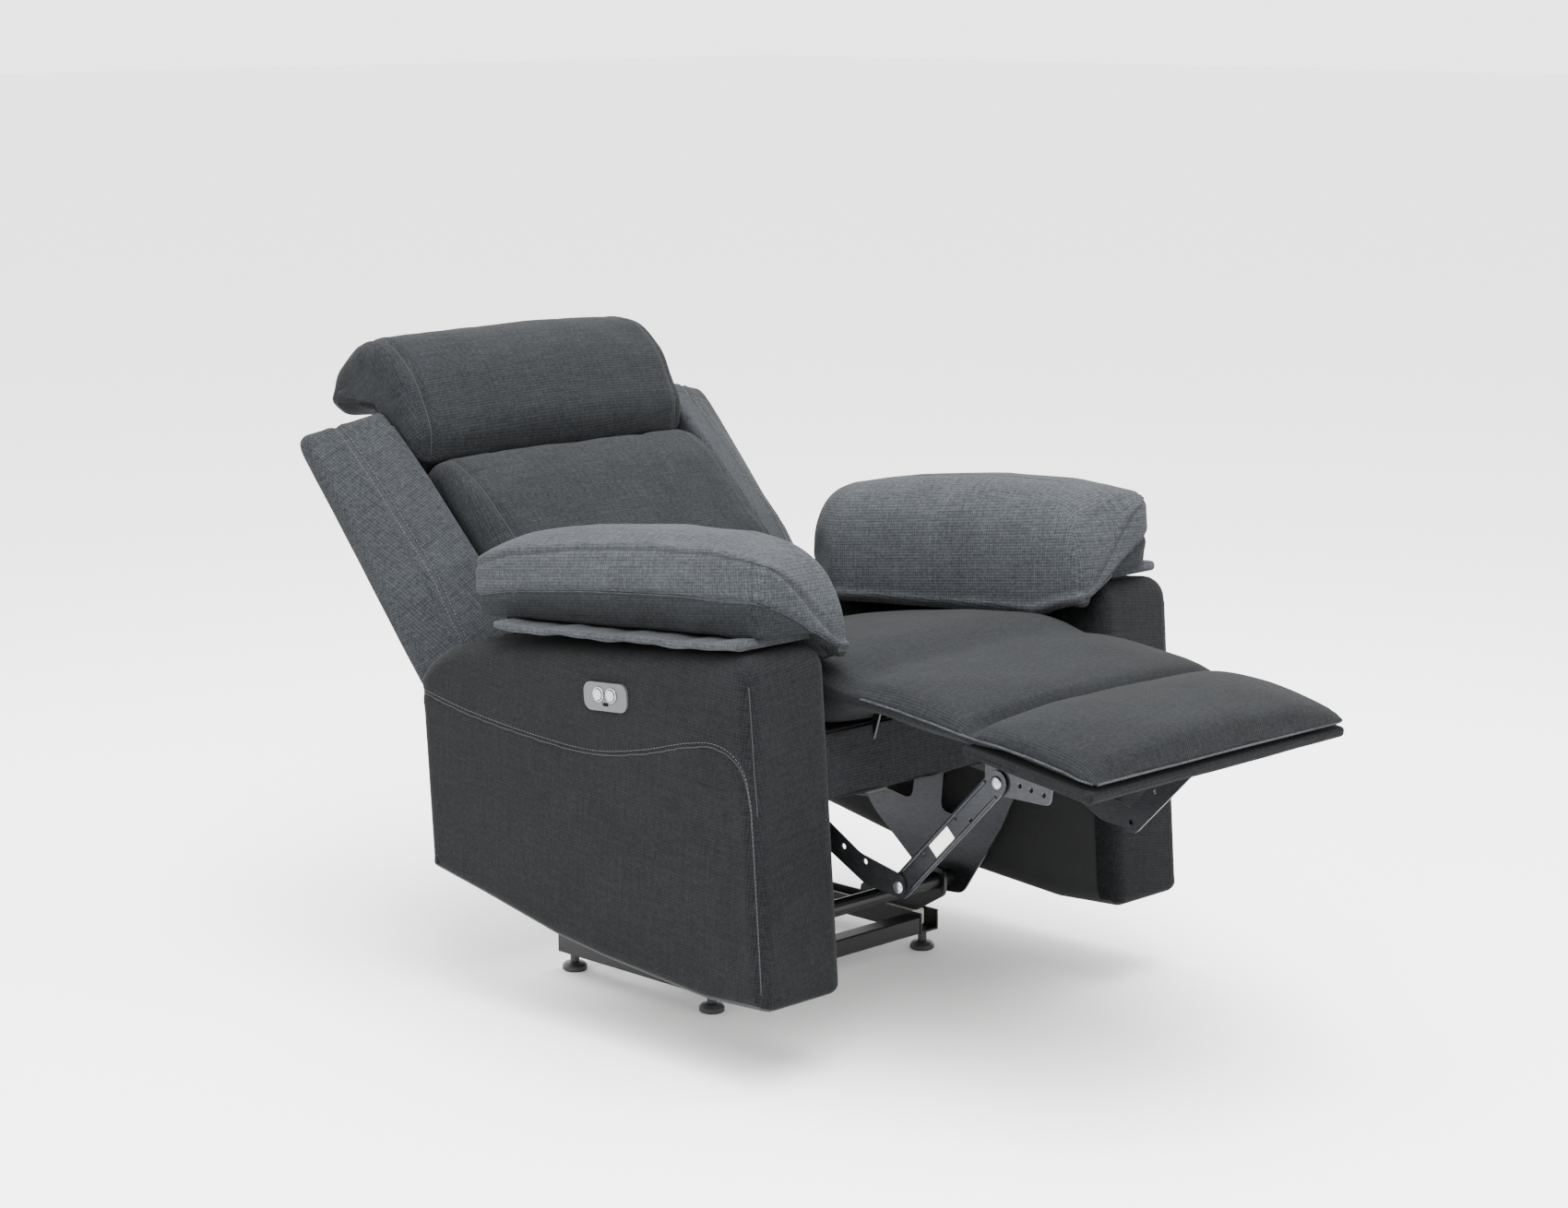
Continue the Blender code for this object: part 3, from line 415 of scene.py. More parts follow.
def lineDistance(points, line):
    # distance from each point to a polyline: the least over its straight pieces
    line = np.asarray(line, float)
    best = np.full(len(points), np.inf)
    for a, b in zip(line[:-1], line[1:]):
        ab = b - a
        t = np.clip(((points - a) @ ab) / (ab @ ab + 1e-15), 0, 1)[:, None]
        best = np.minimum(best, np.linalg.norm(points - a - t * ab, axis=1))
    return best


def groove(made, line, depth, width, ridge=0.0):
    # pulls the surface in along a seam: depth times a bell of the distance, with a low ridge on both sides
    co, no = readPoints(made)
    near = lineDistance(co, line)
    move = -depth * np.exp(-(near / width) ** 2) + ridge * np.exp(-((near - 2.4 * width) / (1.2 * width)) ** 2)
    writePoints(made, co + no * move[:, None])


def ripple(made, size, where=(1, 1, 1), seed=0.0):
    # soft unevenness: a sum of slow sine waves in three directions, moved along the normal
    co, no = readPoints(made)
    x, y, z = (co * np.array(where)).T
    wave = (np.sin(17 * x + 11 * y + seed) * np.cos(13 * z + 2 * seed)
            + 0.6 * np.sin(29 * y - 19 * z + 3 * seed) * np.cos(23 * x + seed)
            + 0.35 * np.sin(53 * x + 41 * z + seed) * np.sin(47 * y + 2 * seed))
    writePoints(made, co + no * (wave * size)[:, None])


def weaveMap(made, which="row", spin=0.0):
    # A UV map in metres. Each face takes the two coordinates of its frame that it faces least.
    mesh = made.data
    origin, angle = frames[which]
    co, _ = readPoints(made)
    y, z = co[:, 1] - origin[0], co[:, 2] - origin[1]
    c, s = math.cos(-angle), math.sin(-angle)
    local = np.stack([co[:, 0], y * c - z * s, y * s + z * c], -1)
    no = np.empty(len(mesh.polygons) * 3, np.float32)
    mesh.polygons.foreach_get("normal", no)
    no = no.reshape(-1, 3)
    no = np.stack([no[:, 0], no[:, 1] * c - no[:, 2] * s, no[:, 1] * s + no[:, 2] * c], -1)
    total = np.empty(len(mesh.polygons), np.int32)
    mesh.polygons.foreach_get("loop_total", total)
    face = np.repeat(np.argmax(np.abs(no), 1), total)
    index = np.empty(len(mesh.loops), np.int32)
    mesh.loops.foreach_get("vertex_index", index)
    p = local[index]
    u = np.where(face == 0, p[:, 1], p[:, 0])
    v = np.where(face == 2, p[:, 1], p[:, 2])
    if spin:
        cs, sn = math.cos(spin), math.sin(spin)
        u, v = u * cs - v * sn, u * sn + v * cs
    layer = mesh.uv_layers.get("weave") or mesh.uv_layers.new(name="weave")
    layer.data.foreach_set("uv", np.stack([u, v], -1).astype(np.float32).ravel())
    return made


def tubeAlong(name, line, radius, material, body=None, sidesCount=8):
    # a closed tube: rings of a circle turned to the line's direction at each point
    line = np.asarray(line, float)
    step = np.gradient(line, axis=0)
    step /= np.linalg.norm(step, axis=1, keepdims=True) + 1e-12
    helper = np.array([0.31, 0.23, 0.92])
    a = np.cross(step, helper)
    a /= np.linalg.norm(a, axis=1, keepdims=True) + 1e-12
    b = np.cross(step, a)
    t = np.linspace(0, 2 * math.pi, sidesCount, endpoint=False)
    ring = a[:, None] * np.cos(t)[None, :, None] + b[:, None] * np.sin(t)[None, :, None]
    made = ringsMesh(name, line[:, None] + ring * radius, material, "row", body)
    return weaveMap(made)


def onSurface(made, line, lift=0.0):
    # each point moved to the nearest place on the piece, then out by lift along its normal
    tree = BVHTree.FromObject(made, bpy.context.evaluated_depsgraph_get())
    found = [tree.find_nearest(Vector(p)) for p in np.asarray(line, float)]
    return np.array([f[0] + f[1] * lift for f in found])


thread = {
    "pitch": 0.006, "length": 0.0042,     # metres from stitch to stitch, and of one stitch
    "radius": 0.0006, "lift": 0.0002,
}


def stitches(name, piece, line, body):
    # topstitching: short six-sided capsules laid end to end along the line, all in one mesh
    pitch, length, radius = thread["pitch"], thread["length"], thread["radius"]
    line = onSurface(piece, line, thread["lift"])
    total = np.linalg.norm(np.diff(line, axis=0), axis=1).sum()
    count = max(2, int(total / pitch))
    mids = evenly(line, count)
    step = np.gradient(mids, axis=0)
    step /= np.linalg.norm(step, axis=1, keepdims=True) + 1e-12
    a = np.cross(step, [0.31, 0.23, 0.92])
    a /= np.linalg.norm(a, axis=1, keepdims=True)
    b = np.cross(step, a)
    along = np.array([-0.5, -0.42, 0.42, 0.5]) * length
    girth = np.array([0.25, 1, 1, 0.25]) * radius
    t = np.linspace(0, 2 * math.pi, 6, endpoint=False)
    t = t[None, None, :, None]
    ring = a[:, None, None] * np.cos(t) + b[:, None, None] * np.sin(t)
    points = (mids[:, None, None] + step[:, None, None] * along[None, :, None, None]
              + ring * girth[None, :, None, None])
    quads = ringFaces(4, 6)
    j = np.arange(6)
    ends = np.array([[0, 3, 2, 1], [0, 5, 4, 3], [18, 19, 20, 21], [18, 21, 22, 23]])
    one = np.vstack([quads, ends])
    faces = (one[None] + (np.arange(count) * 24)[:, None, None]).reshape(-1, 4)
    mesh = bpy.data.meshes.new(name)
    mesh.from_pydata(points.reshape(-1, 3).tolist(), [], faces.tolist())
    made = bpy.data.objects.new(name, mesh)
    bpy.context.scene.collection.objects.link(made)
    mesh.shade_smooth()
    mesh.materials.append(mats["stitch"])
    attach(made, body)
    return made


def seamOn(piece, name, line, lift, radius, material, body):
    # a thin welt or folded seam edge laid on the piece along the line
    made = tubeAlong(name, onSurface(piece, line, lift), radius, material, body)
    return made


def closedLoops(outer, inner):
    # a thin panel as closed loops: the outer face's row, then the inner face's row back
    return np.concatenate([outer, inner[:, ::-1]], 1)


def stuff(made, voxel, pressure, cap, share):
    # Pressurised cloth on a voxel copy. Each point keeps share of its move, at most cap long.
    base = made.data.copy()
    body = bpy.data.objects.new(made.name + "Sim", base)
    bpy.context.scene.collection.objects.link(body)
    remesh = body.modifiers.new("remesh", "REMESH")
    remesh.mode = "VOXEL"
    remesh.voxel_size = voxel
    graph = bpy.context.evaluated_depsgraph_get()
    even = bpy.data.meshes.new_from_object(body.evaluated_get(graph))
    body.modifiers.clear()
    body.data = even
    rest, _ = readPoints(body)
    sim = body.modifiers.new("cloth", "CLOTH")
    sim.settings.use_pressure = True
    sim.settings.uniform_pressure_force = pressure
    sim.settings.effector_weights.gravity = 0.0
    sim.settings.quality = 4
    sim.settings.mass = 0.3
    sim.settings.tension_stiffness = 18
    sim.settings.compression_stiffness = 18
    sim.settings.bending_stiffness = 0.6
    sim.point_cache.frame_start = 1
    sim.point_cache.frame_end = 20
    scene = bpy.context.scene
    for step in range(1, 21):
        scene.frame_set(step)
    graph = bpy.context.evaluated_depsgraph_get()
    after = bpy.data.meshes.new_from_object(body.evaluated_get(graph))
    co = np.empty(len(after.vertices) * 3, np.float32)
    after.vertices.foreach_get("co", co)
    move = (co.reshape(-1, 3) - rest) * share
    size = np.linalg.norm(move, axis=1, keepdims=True)
    move *= np.minimum(1, cap / np.maximum(size, 1e-9))
    scene.frame_set(1)
    # the dense formula mesh takes the move of the nearest simulated points
    tree = BVHTree.FromPolygons(rest.tolist(), [tuple(p.vertices) for p in even.polygons])
    target, _ = readPoints(made)
    owner = np.array([even.polygons[tree.find_nearest(Vector(p))[2]].vertices[0] for p in target])
    moved = move[owner]
    softenMove(made, target, moved)
    bpy.data.objects.remove(body)
    return made


def softenMove(made, target, moved):
    # evens the moves over neighbouring vertices, eight passes
    mesh = made.data
    edges = np.empty(len(mesh.edges) * 2, np.int32)
    mesh.edges.foreach_get("vertices", edges)
    a, b = edges.reshape(-1, 2).T
    count = np.bincount(a, minlength=len(moved)) + np.bincount(b, minlength=len(moved))
    for _ in range(8):
        total = np.zeros_like(moved)
        np.add.at(total, a, moved[b])
        np.add.at(total, b, moved[a])
        moved = 0.5 * moved + 0.5 * total / np.maximum(count, 1)[:, None]
    writePoints(made, target + moved)


view = {
    "place": (-3.519, -3.433, 1.498),
    "azimuth": 45.3,          # degrees from +Y towards +X
    "elevation": 10.66,       # degrees looking down
    "lens": 77.3,
}


def studio():
    camera = bpy.data.objects.new("camera", bpy.data.cameras.new("camera"))
    bpy.context.scene.collection.objects.link(camera)
    az, el = math.radians(view["azimuth"]), math.radians(view["elevation"])
    aim = Vector((math.sin(az) * math.cos(el), math.cos(az) * math.cos(el), -math.sin(el)))
    camera.location = view["place"]
    camera.rotation_euler = aim.to_track_quat("-Z", "Y").to_euler()
    camera.data.lens = view["lens"]
    camera.data.sensor_width = 36
    bpy.context.scene.camera = camera
    floorMaterial, tree, shader = newMaterial("paleStudioFloor")
    shader.inputs["Base Color"].default_value = srgb("#f4f4f3")
    shader.inputs["Roughness"].default_value = 0.9
    mesh = bpy.data.meshes.new("floor")
    mesh.from_pydata([(-40, -40, 0), (40, -40, 0), (40, 40, 0), (-40, 40, 0)], [], [(0, 1, 2, 3)])
    floor = bpy.data.objects.new("floor", mesh)
    mesh.materials.append(floorMaterial)
    bpy.context.scene.collection.objects.link(floor)
    world = bpy.data.worlds.new("studio")
    bpy.context.scene.world = world
    world.use_nodes = True
    back = world.node_tree.nodes["Background"]
    back.inputs[0].default_value = (1, 1, 1, 1)
    back.inputs[1].default_value = 3.2
    lamps = (("key", (-1.4, -2.0, 3.8), 2.6, 300), ("fill", (-3.4, 0.6, 2.2), 2.4, 45),
             ("top", (0.3, 0.1, 4.0), 3.0, 380))
    for name, spot, size, power in lamps:
        lamp = bpy.data.lights.new(name, "AREA")
        lamp.size = size
        lamp.energy = power
        made = bpy.data.objects.new(name, lamp)
        made.location = spot
        made.rotation_euler = (Vector((0, -0.1, 0.4)) - Vector(spot)).to_track_quat("-Z", "Y").to_euler()
        bpy.context.scene.collection.objects.link(made)


studio()
print("studio ready")

arm = {
    "front": -0.375, "rear": 0.324,       # y on the level body
    "topFront": 0.575, "topRear": 0.556,
    "bottomFront": 0.088, "bottomRear": 0.212,
    "under": [(-0.252, 0.090), (-0.047, 0.121), (0.050, 0.140), (0.209, 0.183)],
    "bulge": 0.003,                       # of each side face
    "triangle": 0.006,                    # side of the triangles that fill it
    "flow": [(0.316, 0.478), (0.20, 0.452), (0.06, 0.430), (-0.059, 0.419), (-0.160, 0.428), (-0.250, 0.445),
             (-0.308, 0.448), (-0.350, 0.425), (-0.366, 0.370), (-0.368, 0.25), (-0.368, 0.115)],
    "shoulder": 0.1554,                   # radius of the notch under the wing, round the back hinge
    "edge": 0.024,                        # rounding of the long edges
}


def armOutline(inset=0.0):
    hinge = np.array([0.205, 0.400])
    radius = arm["shoulder"] - inset
    stop = math.acos((arm["rear"] - inset - hinge[0]) / radius)
    t = np.linspace(stop, math.pi / 2, 7)
    corners = [(hinge[0] + radius * math.cos(a), hinge[1] + radius * math.sin(a), 0) for a in t]
    slope = (arm["topFront"] - arm["topRear"]) / (arm["front"] - hinge[0])
    corners += [(0.10, arm["topRear"] + slope * (0.10 - hinge[0]) - inset, 0.05),
                (arm["front"] + inset, arm["topFront"] - inset, 0.034),
                (arm["front"] + inset, arm["bottomFront"] + inset, 0.014)]
    corners += [(y, z + inset, 0.10) for y, z in arm["under"]]
    corners += [(arm["rear"] - inset, arm["bottomRear"] + inset, 0.008)]
    return roundedOutline(corners, 420)


def armShape(sign):
    # the outline carried across X with quarter-round edges, and both side faces filled with small triangles
    outline = armOutline()
    half = (armX["outer"] - armX["inner"]) / 2
    middle = sign * (armX["outer"] + armX["inner"]) / 2
    normal = outwardNormals(outline)
    turn = np.linspace(0, math.pi / 2, 9)
    near = [(half - arm["edge"] * (1 - math.cos(a)), arm["edge"] * (1 - math.sin(a))) for a in turn]
    flat = [(t * (half - arm["edge"]), 0.0) for t in np.linspace(-1, 1, 30)[1:-1]]
    steps = [(-a, b) for a, b in near] + flat + near[::-1]
    rings = np.array([np.column_stack([np.full(len(outline), middle + a), outline - normal * b])
                      for a, b in steps])
    rim = outline - normal * arm["edge"]
    y, z = np.arange(-0.40, 0.34, arm["triangle"]), np.arange(0.07, 0.60, arm["triangle"])
    grid = np.stack(np.meshgrid(y, z), -1).reshape(-1, 2)
    gap = np.linalg.norm(grid[:, None] - rim[None, ::2], axis=2).min(1)
    count = len(rim)
    loop = [(i, (i + 1) % count) for i in range(count)]
    found = delaunay_2d_cdt([Vector(q) for q in np.vstack([rim, grid[gap > 0.004]])], loop, [], 1, 1e-6)
    side2d = np.array([tuple(q) for q in found[0]])
    depth = np.linalg.norm(side2d[:, None] - rim[None, ::2], axis=2).min(1)
    full = arm["bulge"] * (1 - np.exp(-(depth / 0.06) ** 2))
    triangles = np.array([tuple(f) for f in found[2]])
    points, faces = [rings.reshape(-1, 3)], ringFaces(len(rings), count).tolist()
    for way in (-1, 1):
        first = sum(len(q) for q in points)
        points.append(np.column_stack([middle + way * (half + full), side2d]))
        faces += (triangles + first).tolist()
    return np.vstack(points), faces


def armCover(side, tag, sign):
    points, faces = armShape(sign)
    # the arm cover takes the darkest cloth copy: painted shade for the sides turned away from the top light
    made = joinedMesh("armCover" + side, toRow(points, "body"), faces, "clothSideShade")
    # the decorative seam on the outer side: low under the pad, a hump, then down the front corner
    x = sign * armX["outer"]
    flow = smoothCurve([(x, y, z) for y, z in arm["flow"]], 90)
    flow = onSurface(made, toRow(flow, "body"))
    groove(made, flow, 0.0022, 0.006, 0.0008)
    weaveMap(made, "body", math.radians(8) * sign)
    made.data.materials.append(mats["lining"])
    # the inner face below the seat and the underside are black lining
    count = len(made.data.polygons)
    centre = np.empty(count * 3, np.float32)
    made.data.polygons.foreach_get("center", centre)
    normal = np.empty(count * 3, np.float32)
    made.data.polygons.foreach_get("normal", normal)
    centre, normal = centre.reshape(-1, 3), normal.reshape(-1, 3)
    dy, dz = centre[:, 1] - bodyOrigin[0], centre[:, 2] - bodyOrigin[1]
    c, s = math.cos(tipAngle), math.sin(tipAngle)
    y, z = dy * c - dz * s, dy * s + dz * c
    inside = (np.abs(centre[:, 0]) < armX["inner"] + 0.012) & (normal[:, 0] * sign < -0.5)
    slots = np.zeros(count, np.int32)
    slots[inside & (z < 0.47) & (y > -0.34)] = 1
    slots[(normal[:, 2] < -0.6) & (z < 0.3)] = 1
    made.data.polygons.foreach_set("material_index", slots)
    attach(made, "body")
    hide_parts("arm_cover_" + tag)
    seamOn(made, "armSeam" + side, flow, -0.0002, 0.0011, "seam", "body")
    offset = flow.copy()
    offset[:, 2] += 0.006
    stitches("armTopstitch" + side, made, offset, "body")
    edge = x - sign * 0.006
    corner = smoothCurve([(edge, -0.372, 0.535), (edge, -0.374, 0.44), (edge, -0.374, 0.36)], 30)
    seamOn(made, "armCornerSeam" + side, toRow(corner, "body"), 0.0, 0.0009, "seam", "body")
    return made


pad = {
    "rear": 0.232, "front": -0.379,       # y on the level body
    "inner": 0.2325, "outer": 0.421,      # distances from the middle
    "bottom": 0.593, "hem": 0.530,        # underside on the arm, and hem of the inner side
}


def padPlan(sign, count=260):
    # a superellipse, the same on both sides of its middle line, from the middle of the inner side round
    x0, x1 = pad["inner"], pad["outer"]
    half = (x1 - x0) / 2
    middle = sign * (x0 + x1) / 2
    y0, y1 = pad["front"], pad["rear"]
    t = np.linspace(0, 2 * math.pi, 8 * count, endpoint=False) + math.pi * (sign > 0)
    c, s = np.cos(t), np.sin(t)
    power = 2 / 7.0
    x = half * np.sign(c) * np.abs(c) ** power
    y = (y0 + y1) / 2 + (y1 - y0) / 2 * np.sign(s) * np.abs(s) ** (2 / 14.0)
    # the rear inner corner is cut off, clear of the lumbar cushion when the back comes up
    x = sign * np.maximum(x * sign, 0.607 * (y - 0.125) - half)
    q = np.stack([x, y], -1)
    return evenly(np.vstack([q, q[:1]]), count, True), middle, half


def armPad(side, tag, sign):
    plan, middle, half = padPlan(sign)
    x, y = plan.T
    spineY = np.clip(y, pad["front"] + half, pad["rear"] - half * 0.6)
    out = x * sign / half                     # 1 at the outer side, -1 at the inner side
    inward = np.clip((1 - out) / 2, 0, 1)
    drop = inward ** 2 * (3 - 2 * inward)

    def hem(yy):
        return pad["hem"] + 0.018 * np.clip((-0.29 - yy) / 0.07, 0, 1)

    # the two seams of the boxing band; both sink to the hem round the front to the inner side
    low = np.interp(-y, [-0.22, -0.135, 0.036, 0.215, 0.361, 0.395], [0.622, 0.634, 0.644, 0.648, 0.644, 0.632])
    high = np.interp(-y, [-0.22, -0.135, 0.015, 0.156, 0.295, 0.384], [0.667, 0.687, 0.703, 0.709, 0.707, 0.695])
    low = low + (hem(y) + 0.007 - low) * drop
    high = high + (hem(y) + 0.020 - high) * drop

    def crownTop(yy):
        return np.interp(-yy, [-0.225, -0.155, -0.035, 0.141, 0.265, 0.350, 0.395],
                         [0.688, 0.708, 0.721, 0.728, 0.723, 0.707, 0.676])

    def layer(k, z):
        return np.stack([middle + x * k, spineY + (y - spineY) * k, z], -1)

    def under(k):
        # flat on the arm, then down to the hem past the arm's inner side
        past = np.clip((armX["inner"] - 0.004 - np.abs(middle + x * k)) / 0.030, 0, 1)
        return pad["bottom"] + (hem(y) - pad["bottom"]) * past ** 2 * (3 - 2 * past)

    rings = [layer(k, under(k)) for k in np.linspace(0.02, 0.93, 16)]
    start = under(0.93)
    for s in np.linspace(0, 1, 12)[1:]:         # lower panel, leaning out to the lower seam
        rings.append(layer(0.93 + 0.055 * s ** 0.8, start + (low - start) * s))
    lowAt = len(rings) - 1
    for s in np.linspace(0, 1, 20)[1:-1]:       # boxing band, slightly full
        rings.append(layer(0.985 + 0.020 * math.sin(math.pi * s) ** 0.8 - 0.006 * s, low + (high - low) * s))
    highAt = len(rings)
    for s in np.linspace(0, 1, 48):             # crowned top
        k = 0.979 * math.cos(math.pi / 2 * s) ** 0.82
        rise = math.sin(math.pi / 2 * s) ** 0.90
        rings.append(layer(k, high + (crownTop(spineY + (y - spineY) * k) - high) * rise))
    points = np.array(rings)
    made = ringsMesh("armPad" + side, points, "cloth", "body")
    stuff(made, 0.0055, 3.0, 0.005, 0.5)
    seen = drop < 0.97
    lowLine, highLine = (onSurface(made, toRow(rings[k][seen][::3], "body")) for k in (lowAt, highAt))
    ripple(made, 0.0007, seed=2.0 * sign)
    groove(made, lowLine, 0.0030, 0.0045, 0.0012)
    groove(made, highLine, 0.0022, 0.0045, 0.0010)
    weaveMap(made, "body", math.radians(3))
    # the pad's lower panel, below the lower seam, takes the darker underside copy: painted shade under the pad
    made.data.materials.append(mats["clothUndersideShade"])
    paintShadeBelow(made, toRow(rings[lowAt], "body"))
    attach(made, "body")
    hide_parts("arm_pad_" + tag)
    seamOn(made, "armPadLowerWelt" + side, lowLine, -0.0001, 0.0012, "cloth", "body")
    seamOn(made, "armPadUpperSeam" + side, highLine, -0.0003, 0.0008, "seam", "body")
    # the upright seam of the boxing band at the front outer corner
    pick = int(np.argmin(np.abs(out - 0.93) + 3 * (y > pad["front"] + 0.06)))
    column = toRow(points[lowAt:highAt + 1, pick], "body")
    groove(made, column, 0.0016, 0.004, 0.0006)
    seamOn(made, "armPadCornerSeam" + side, column, -0.0002, 0.0008, "seam", "body")
    return made


def paintShadeBelow(made, line):
    # faces lower than the nearest point of the seam take the second material, the darker cloth copy: painted
    # shade under the pad
    count = len(made.data.polygons)
    centre = np.empty(count * 3, np.float32)
    made.data.polygons.foreach_get("center", centre)
    centre = centre.reshape(-1, 3)
    line = np.asarray(line)
    flat = centre[:, None, :2] - line[None, :, :2]
    nearest = np.argmin((flat ** 2).sum(-1), 1)
    below = centre[:, 2] < line[nearest, 2] - 0.0005
    made.data.polygons.foreach_set("material_index", below.astype(np.int32))


def padFlap(side, tag, sign):
    # the cloth ledge under the pad: a thin strip with a rolled outer edge and a folded front point
    x0, x1 = armX["inner"] + 0.012, armX["outer"] + 0.004
    t = np.linspace(0, 1, 90)
    y = 0.149 + (-0.352 - 0.149) * t
    edge = x1 - 0.010 * np.clip((t - 0.93) / 0.07, 0, 1) ** 1.5
    edge = edge - 0.012 * np.clip((0.06 - t) / 0.06, 0, 1) ** 2
    wave = 0.0012 * np.sin(21 * t + 1) + 0.0008 * np.sin(47 * t)
    low, high = 0.5815 + wave, 0.5915 + wave + 0.004 * np.clip((t - 0.9) / 0.1, 0, 1)
    angle = np.linspace(-math.pi / 2, math.pi / 2, 9)
    mid, thick = (low + high) / 2, (high - low) / 2
    outerX = edge[:, None] - thick[:, None] * (1 - np.cos(angle))[None]
    outerZ = mid[:, None] + thick[:, None] * np.sin(angle)[None]
    innerX = np.repeat([[x0, x0]], len(t), 0)
    innerZ = np.stack([high, low], -1)
    xs = sign * np.concatenate([outerX, innerX], 1)
    zs = np.concatenate([outerZ, innerZ], 1)
    points = np.stack([xs, np.repeat(y[:, None], xs.shape[1], 1), zs], -1)
    made = ringsMesh("padFlap" + side, points, "cloth", "body", "body")
    weaveMap(made, "body")
    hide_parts("pad_board_" + tag)
    return made


for side, tag, sign in sides:
    armCover(side, tag, sign)
    armPad(side, tag, sign)
    padFlap(side, tag, sign)
print("arms done")

back = {
    "height": 0.590, "rear": 0.060,
    "wingRadius": 0.1594,
    "wingEdge": 0.010,
    "fold": 0.3645,                       # the wing's seam, from the middle
    "frontAt": ([0.130, 0.177, 0.292, 0.450, 0.597], [-0.028, -0.033, -0.043, -0.028, -0.008]),
}


def wingRings(sign):
    # Sections across the wing, stacked up the back. Each is a wedge: the front face turns back towards the
    # outer side and folds at the seam. The lowest follows the circle round the back's hinge.
    def section(z):
        front = np.interp(z, back["frontAt"][0], back["frontAt"][1])
        inner, fold, outer = armX["wingInner"], back["fold"], armX["wingOuter"] - 0.001
        return roundedOutline([(inner, front, 0.010), (fold, front + 0.030, 0.050),
                               (outer, min(front + 0.078, 0.040), 0.016),
                               (outer, back["rear"] + 0.010, 0.012),
                               (inner, back["rear"] - 0.001, 0.006)], 200)

    def foot(y):
        return np.sqrt(back["wingRadius"] ** 2 - np.clip(y, -0.12, 0.12) ** 2)

    def ring(shape, z):
        return np.stack([shape[:, 0] * sign, shape[:, 1], z], -1)

    top, foldRadius, edge = back["height"] + 0.005, 0.030, back["wingEdge"]
    rings = []
    lowest = section(0.16)
    normal, centre = outwardNormals(lowest), lowest.mean(0)
    for k in np.linspace(0.03, 0.97, 12):
        shape = centre + (lowest - normal * edge - centre) * k
        rings.append(ring(shape, foot(shape[:, 1])))
    for a in np.linspace(0, math.pi / 2, 7):
        shape = lowest - normal * edge * (1 - math.sin(a))
        rings.append(ring(shape, foot(shape[:, 1]) + edge * (1 - math.cos(a))))
    for t in np.linspace(0, 1, 74)[1:-1]:
        shape = section(0.16 + (top - foldRadius - 0.16) * t)
        first = foot(shape[:, 1]) + edge
        rings.append(ring(shape, first + (top - foldRadius - first) * t))
    highest = section(top)
    normal, centre = outwardNormals(highest), highest.mean(0)
    for a in np.linspace(0, math.pi / 2, 11):
        shape = highest - normal * foldRadius * 0.35 * (1 - math.cos(a))
        rings.append(ring(shape, np.full(len(shape), top - foldRadius + foldRadius * math.sin(a))))
    for k in np.linspace(0.95, 0.03, 10):
        shape = centre + (highest - normal * foldRadius * 0.35 - centre) * k
        rings.append(ring(shape, np.full(len(shape), top)))
    return np.array(rings)


def wing(side, tag, sign):
    made = ringsMesh("wing" + side, wingRings(sign), "clothWingShade", "back")
    # the seam along the fold, from the foot of the wing over its top
    z = np.array([0.172, 0.22, 0.292, 0.37, 0.45, 0.53, 0.575])
    y = np.interp(z, back["frontAt"][0], back["frontAt"][1]) + 0.032
    corners = [(sign * back["fold"], b, c) for b, c in zip(y, z)]
    corners += [(sign * back["fold"], y[-1] + 0.014, 0.596), (sign * back["fold"], 0.052, 0.596)]
    line = onSurface(made, toRow(smoothCurve(corners, 110), "back"))
    ripple(made, 0.0006, seed=sign)
    groove(made, line, 0.0020, 0.0050, 0.0012)
    weaveMap(made, "back", math.radians(18) * sign)
    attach(made, "backrest")
    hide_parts("wing_" + tag)
    seamOn(made, "wingSeam" + side, line, -0.0003, 0.0008, "seam", "backrest")
    for k, shift in enumerate((-0.0055, 0.0055)):
        beside = line.copy()
        beside[:, 0] += shift
        stitches("wingTopstitch%s%d" % (side, k + 1), made, beside, "backrest")
    return made


def backCushion(name, node, shape, seamCorners, seam):
    # a side outline carried across the back, crowned in front, with a seam near each end
    outline = roundedOutline(shape["outline"], shape["points"])
    front, depth = shape["crownFrom"]
    points = slab(outline, shape["half"], shape["edge"], bulge=shape["bulge"], crown=shape["crown"], across=90,
                  spine=shape["spine"], crownWhere=lambda o: np.clip((front - o[:, 0]) / depth, 0, 1))
    made = ringsMesh(name, points, "clothBackShade", "back")
    stuff(made, 0.006, 3.5, 0.007, 0.5)
    ripple(made, shape["ripple"], seed=shape["seed"])
    lines = []
    for sign in (-1, 1):
        corners = [(sign * (x + seam["from"]), y, z) for x, y, z in seamCorners]
        line = onSurface(made, toRow(smoothCurve(corners, seam["points"]), "back"))
        groove(made, line, seam["depth"], 0.005, seam["ridge"])
        lines.append(line)
    weaveMap(made, "back")
    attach(made, "backrest")
    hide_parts(node)
    for line, side in zip(lines, ("Right", "Left")):
        seamOn(made, seam["name"] + side, line, -0.0001, seam["radius"], "seam", "backrest")
    return made


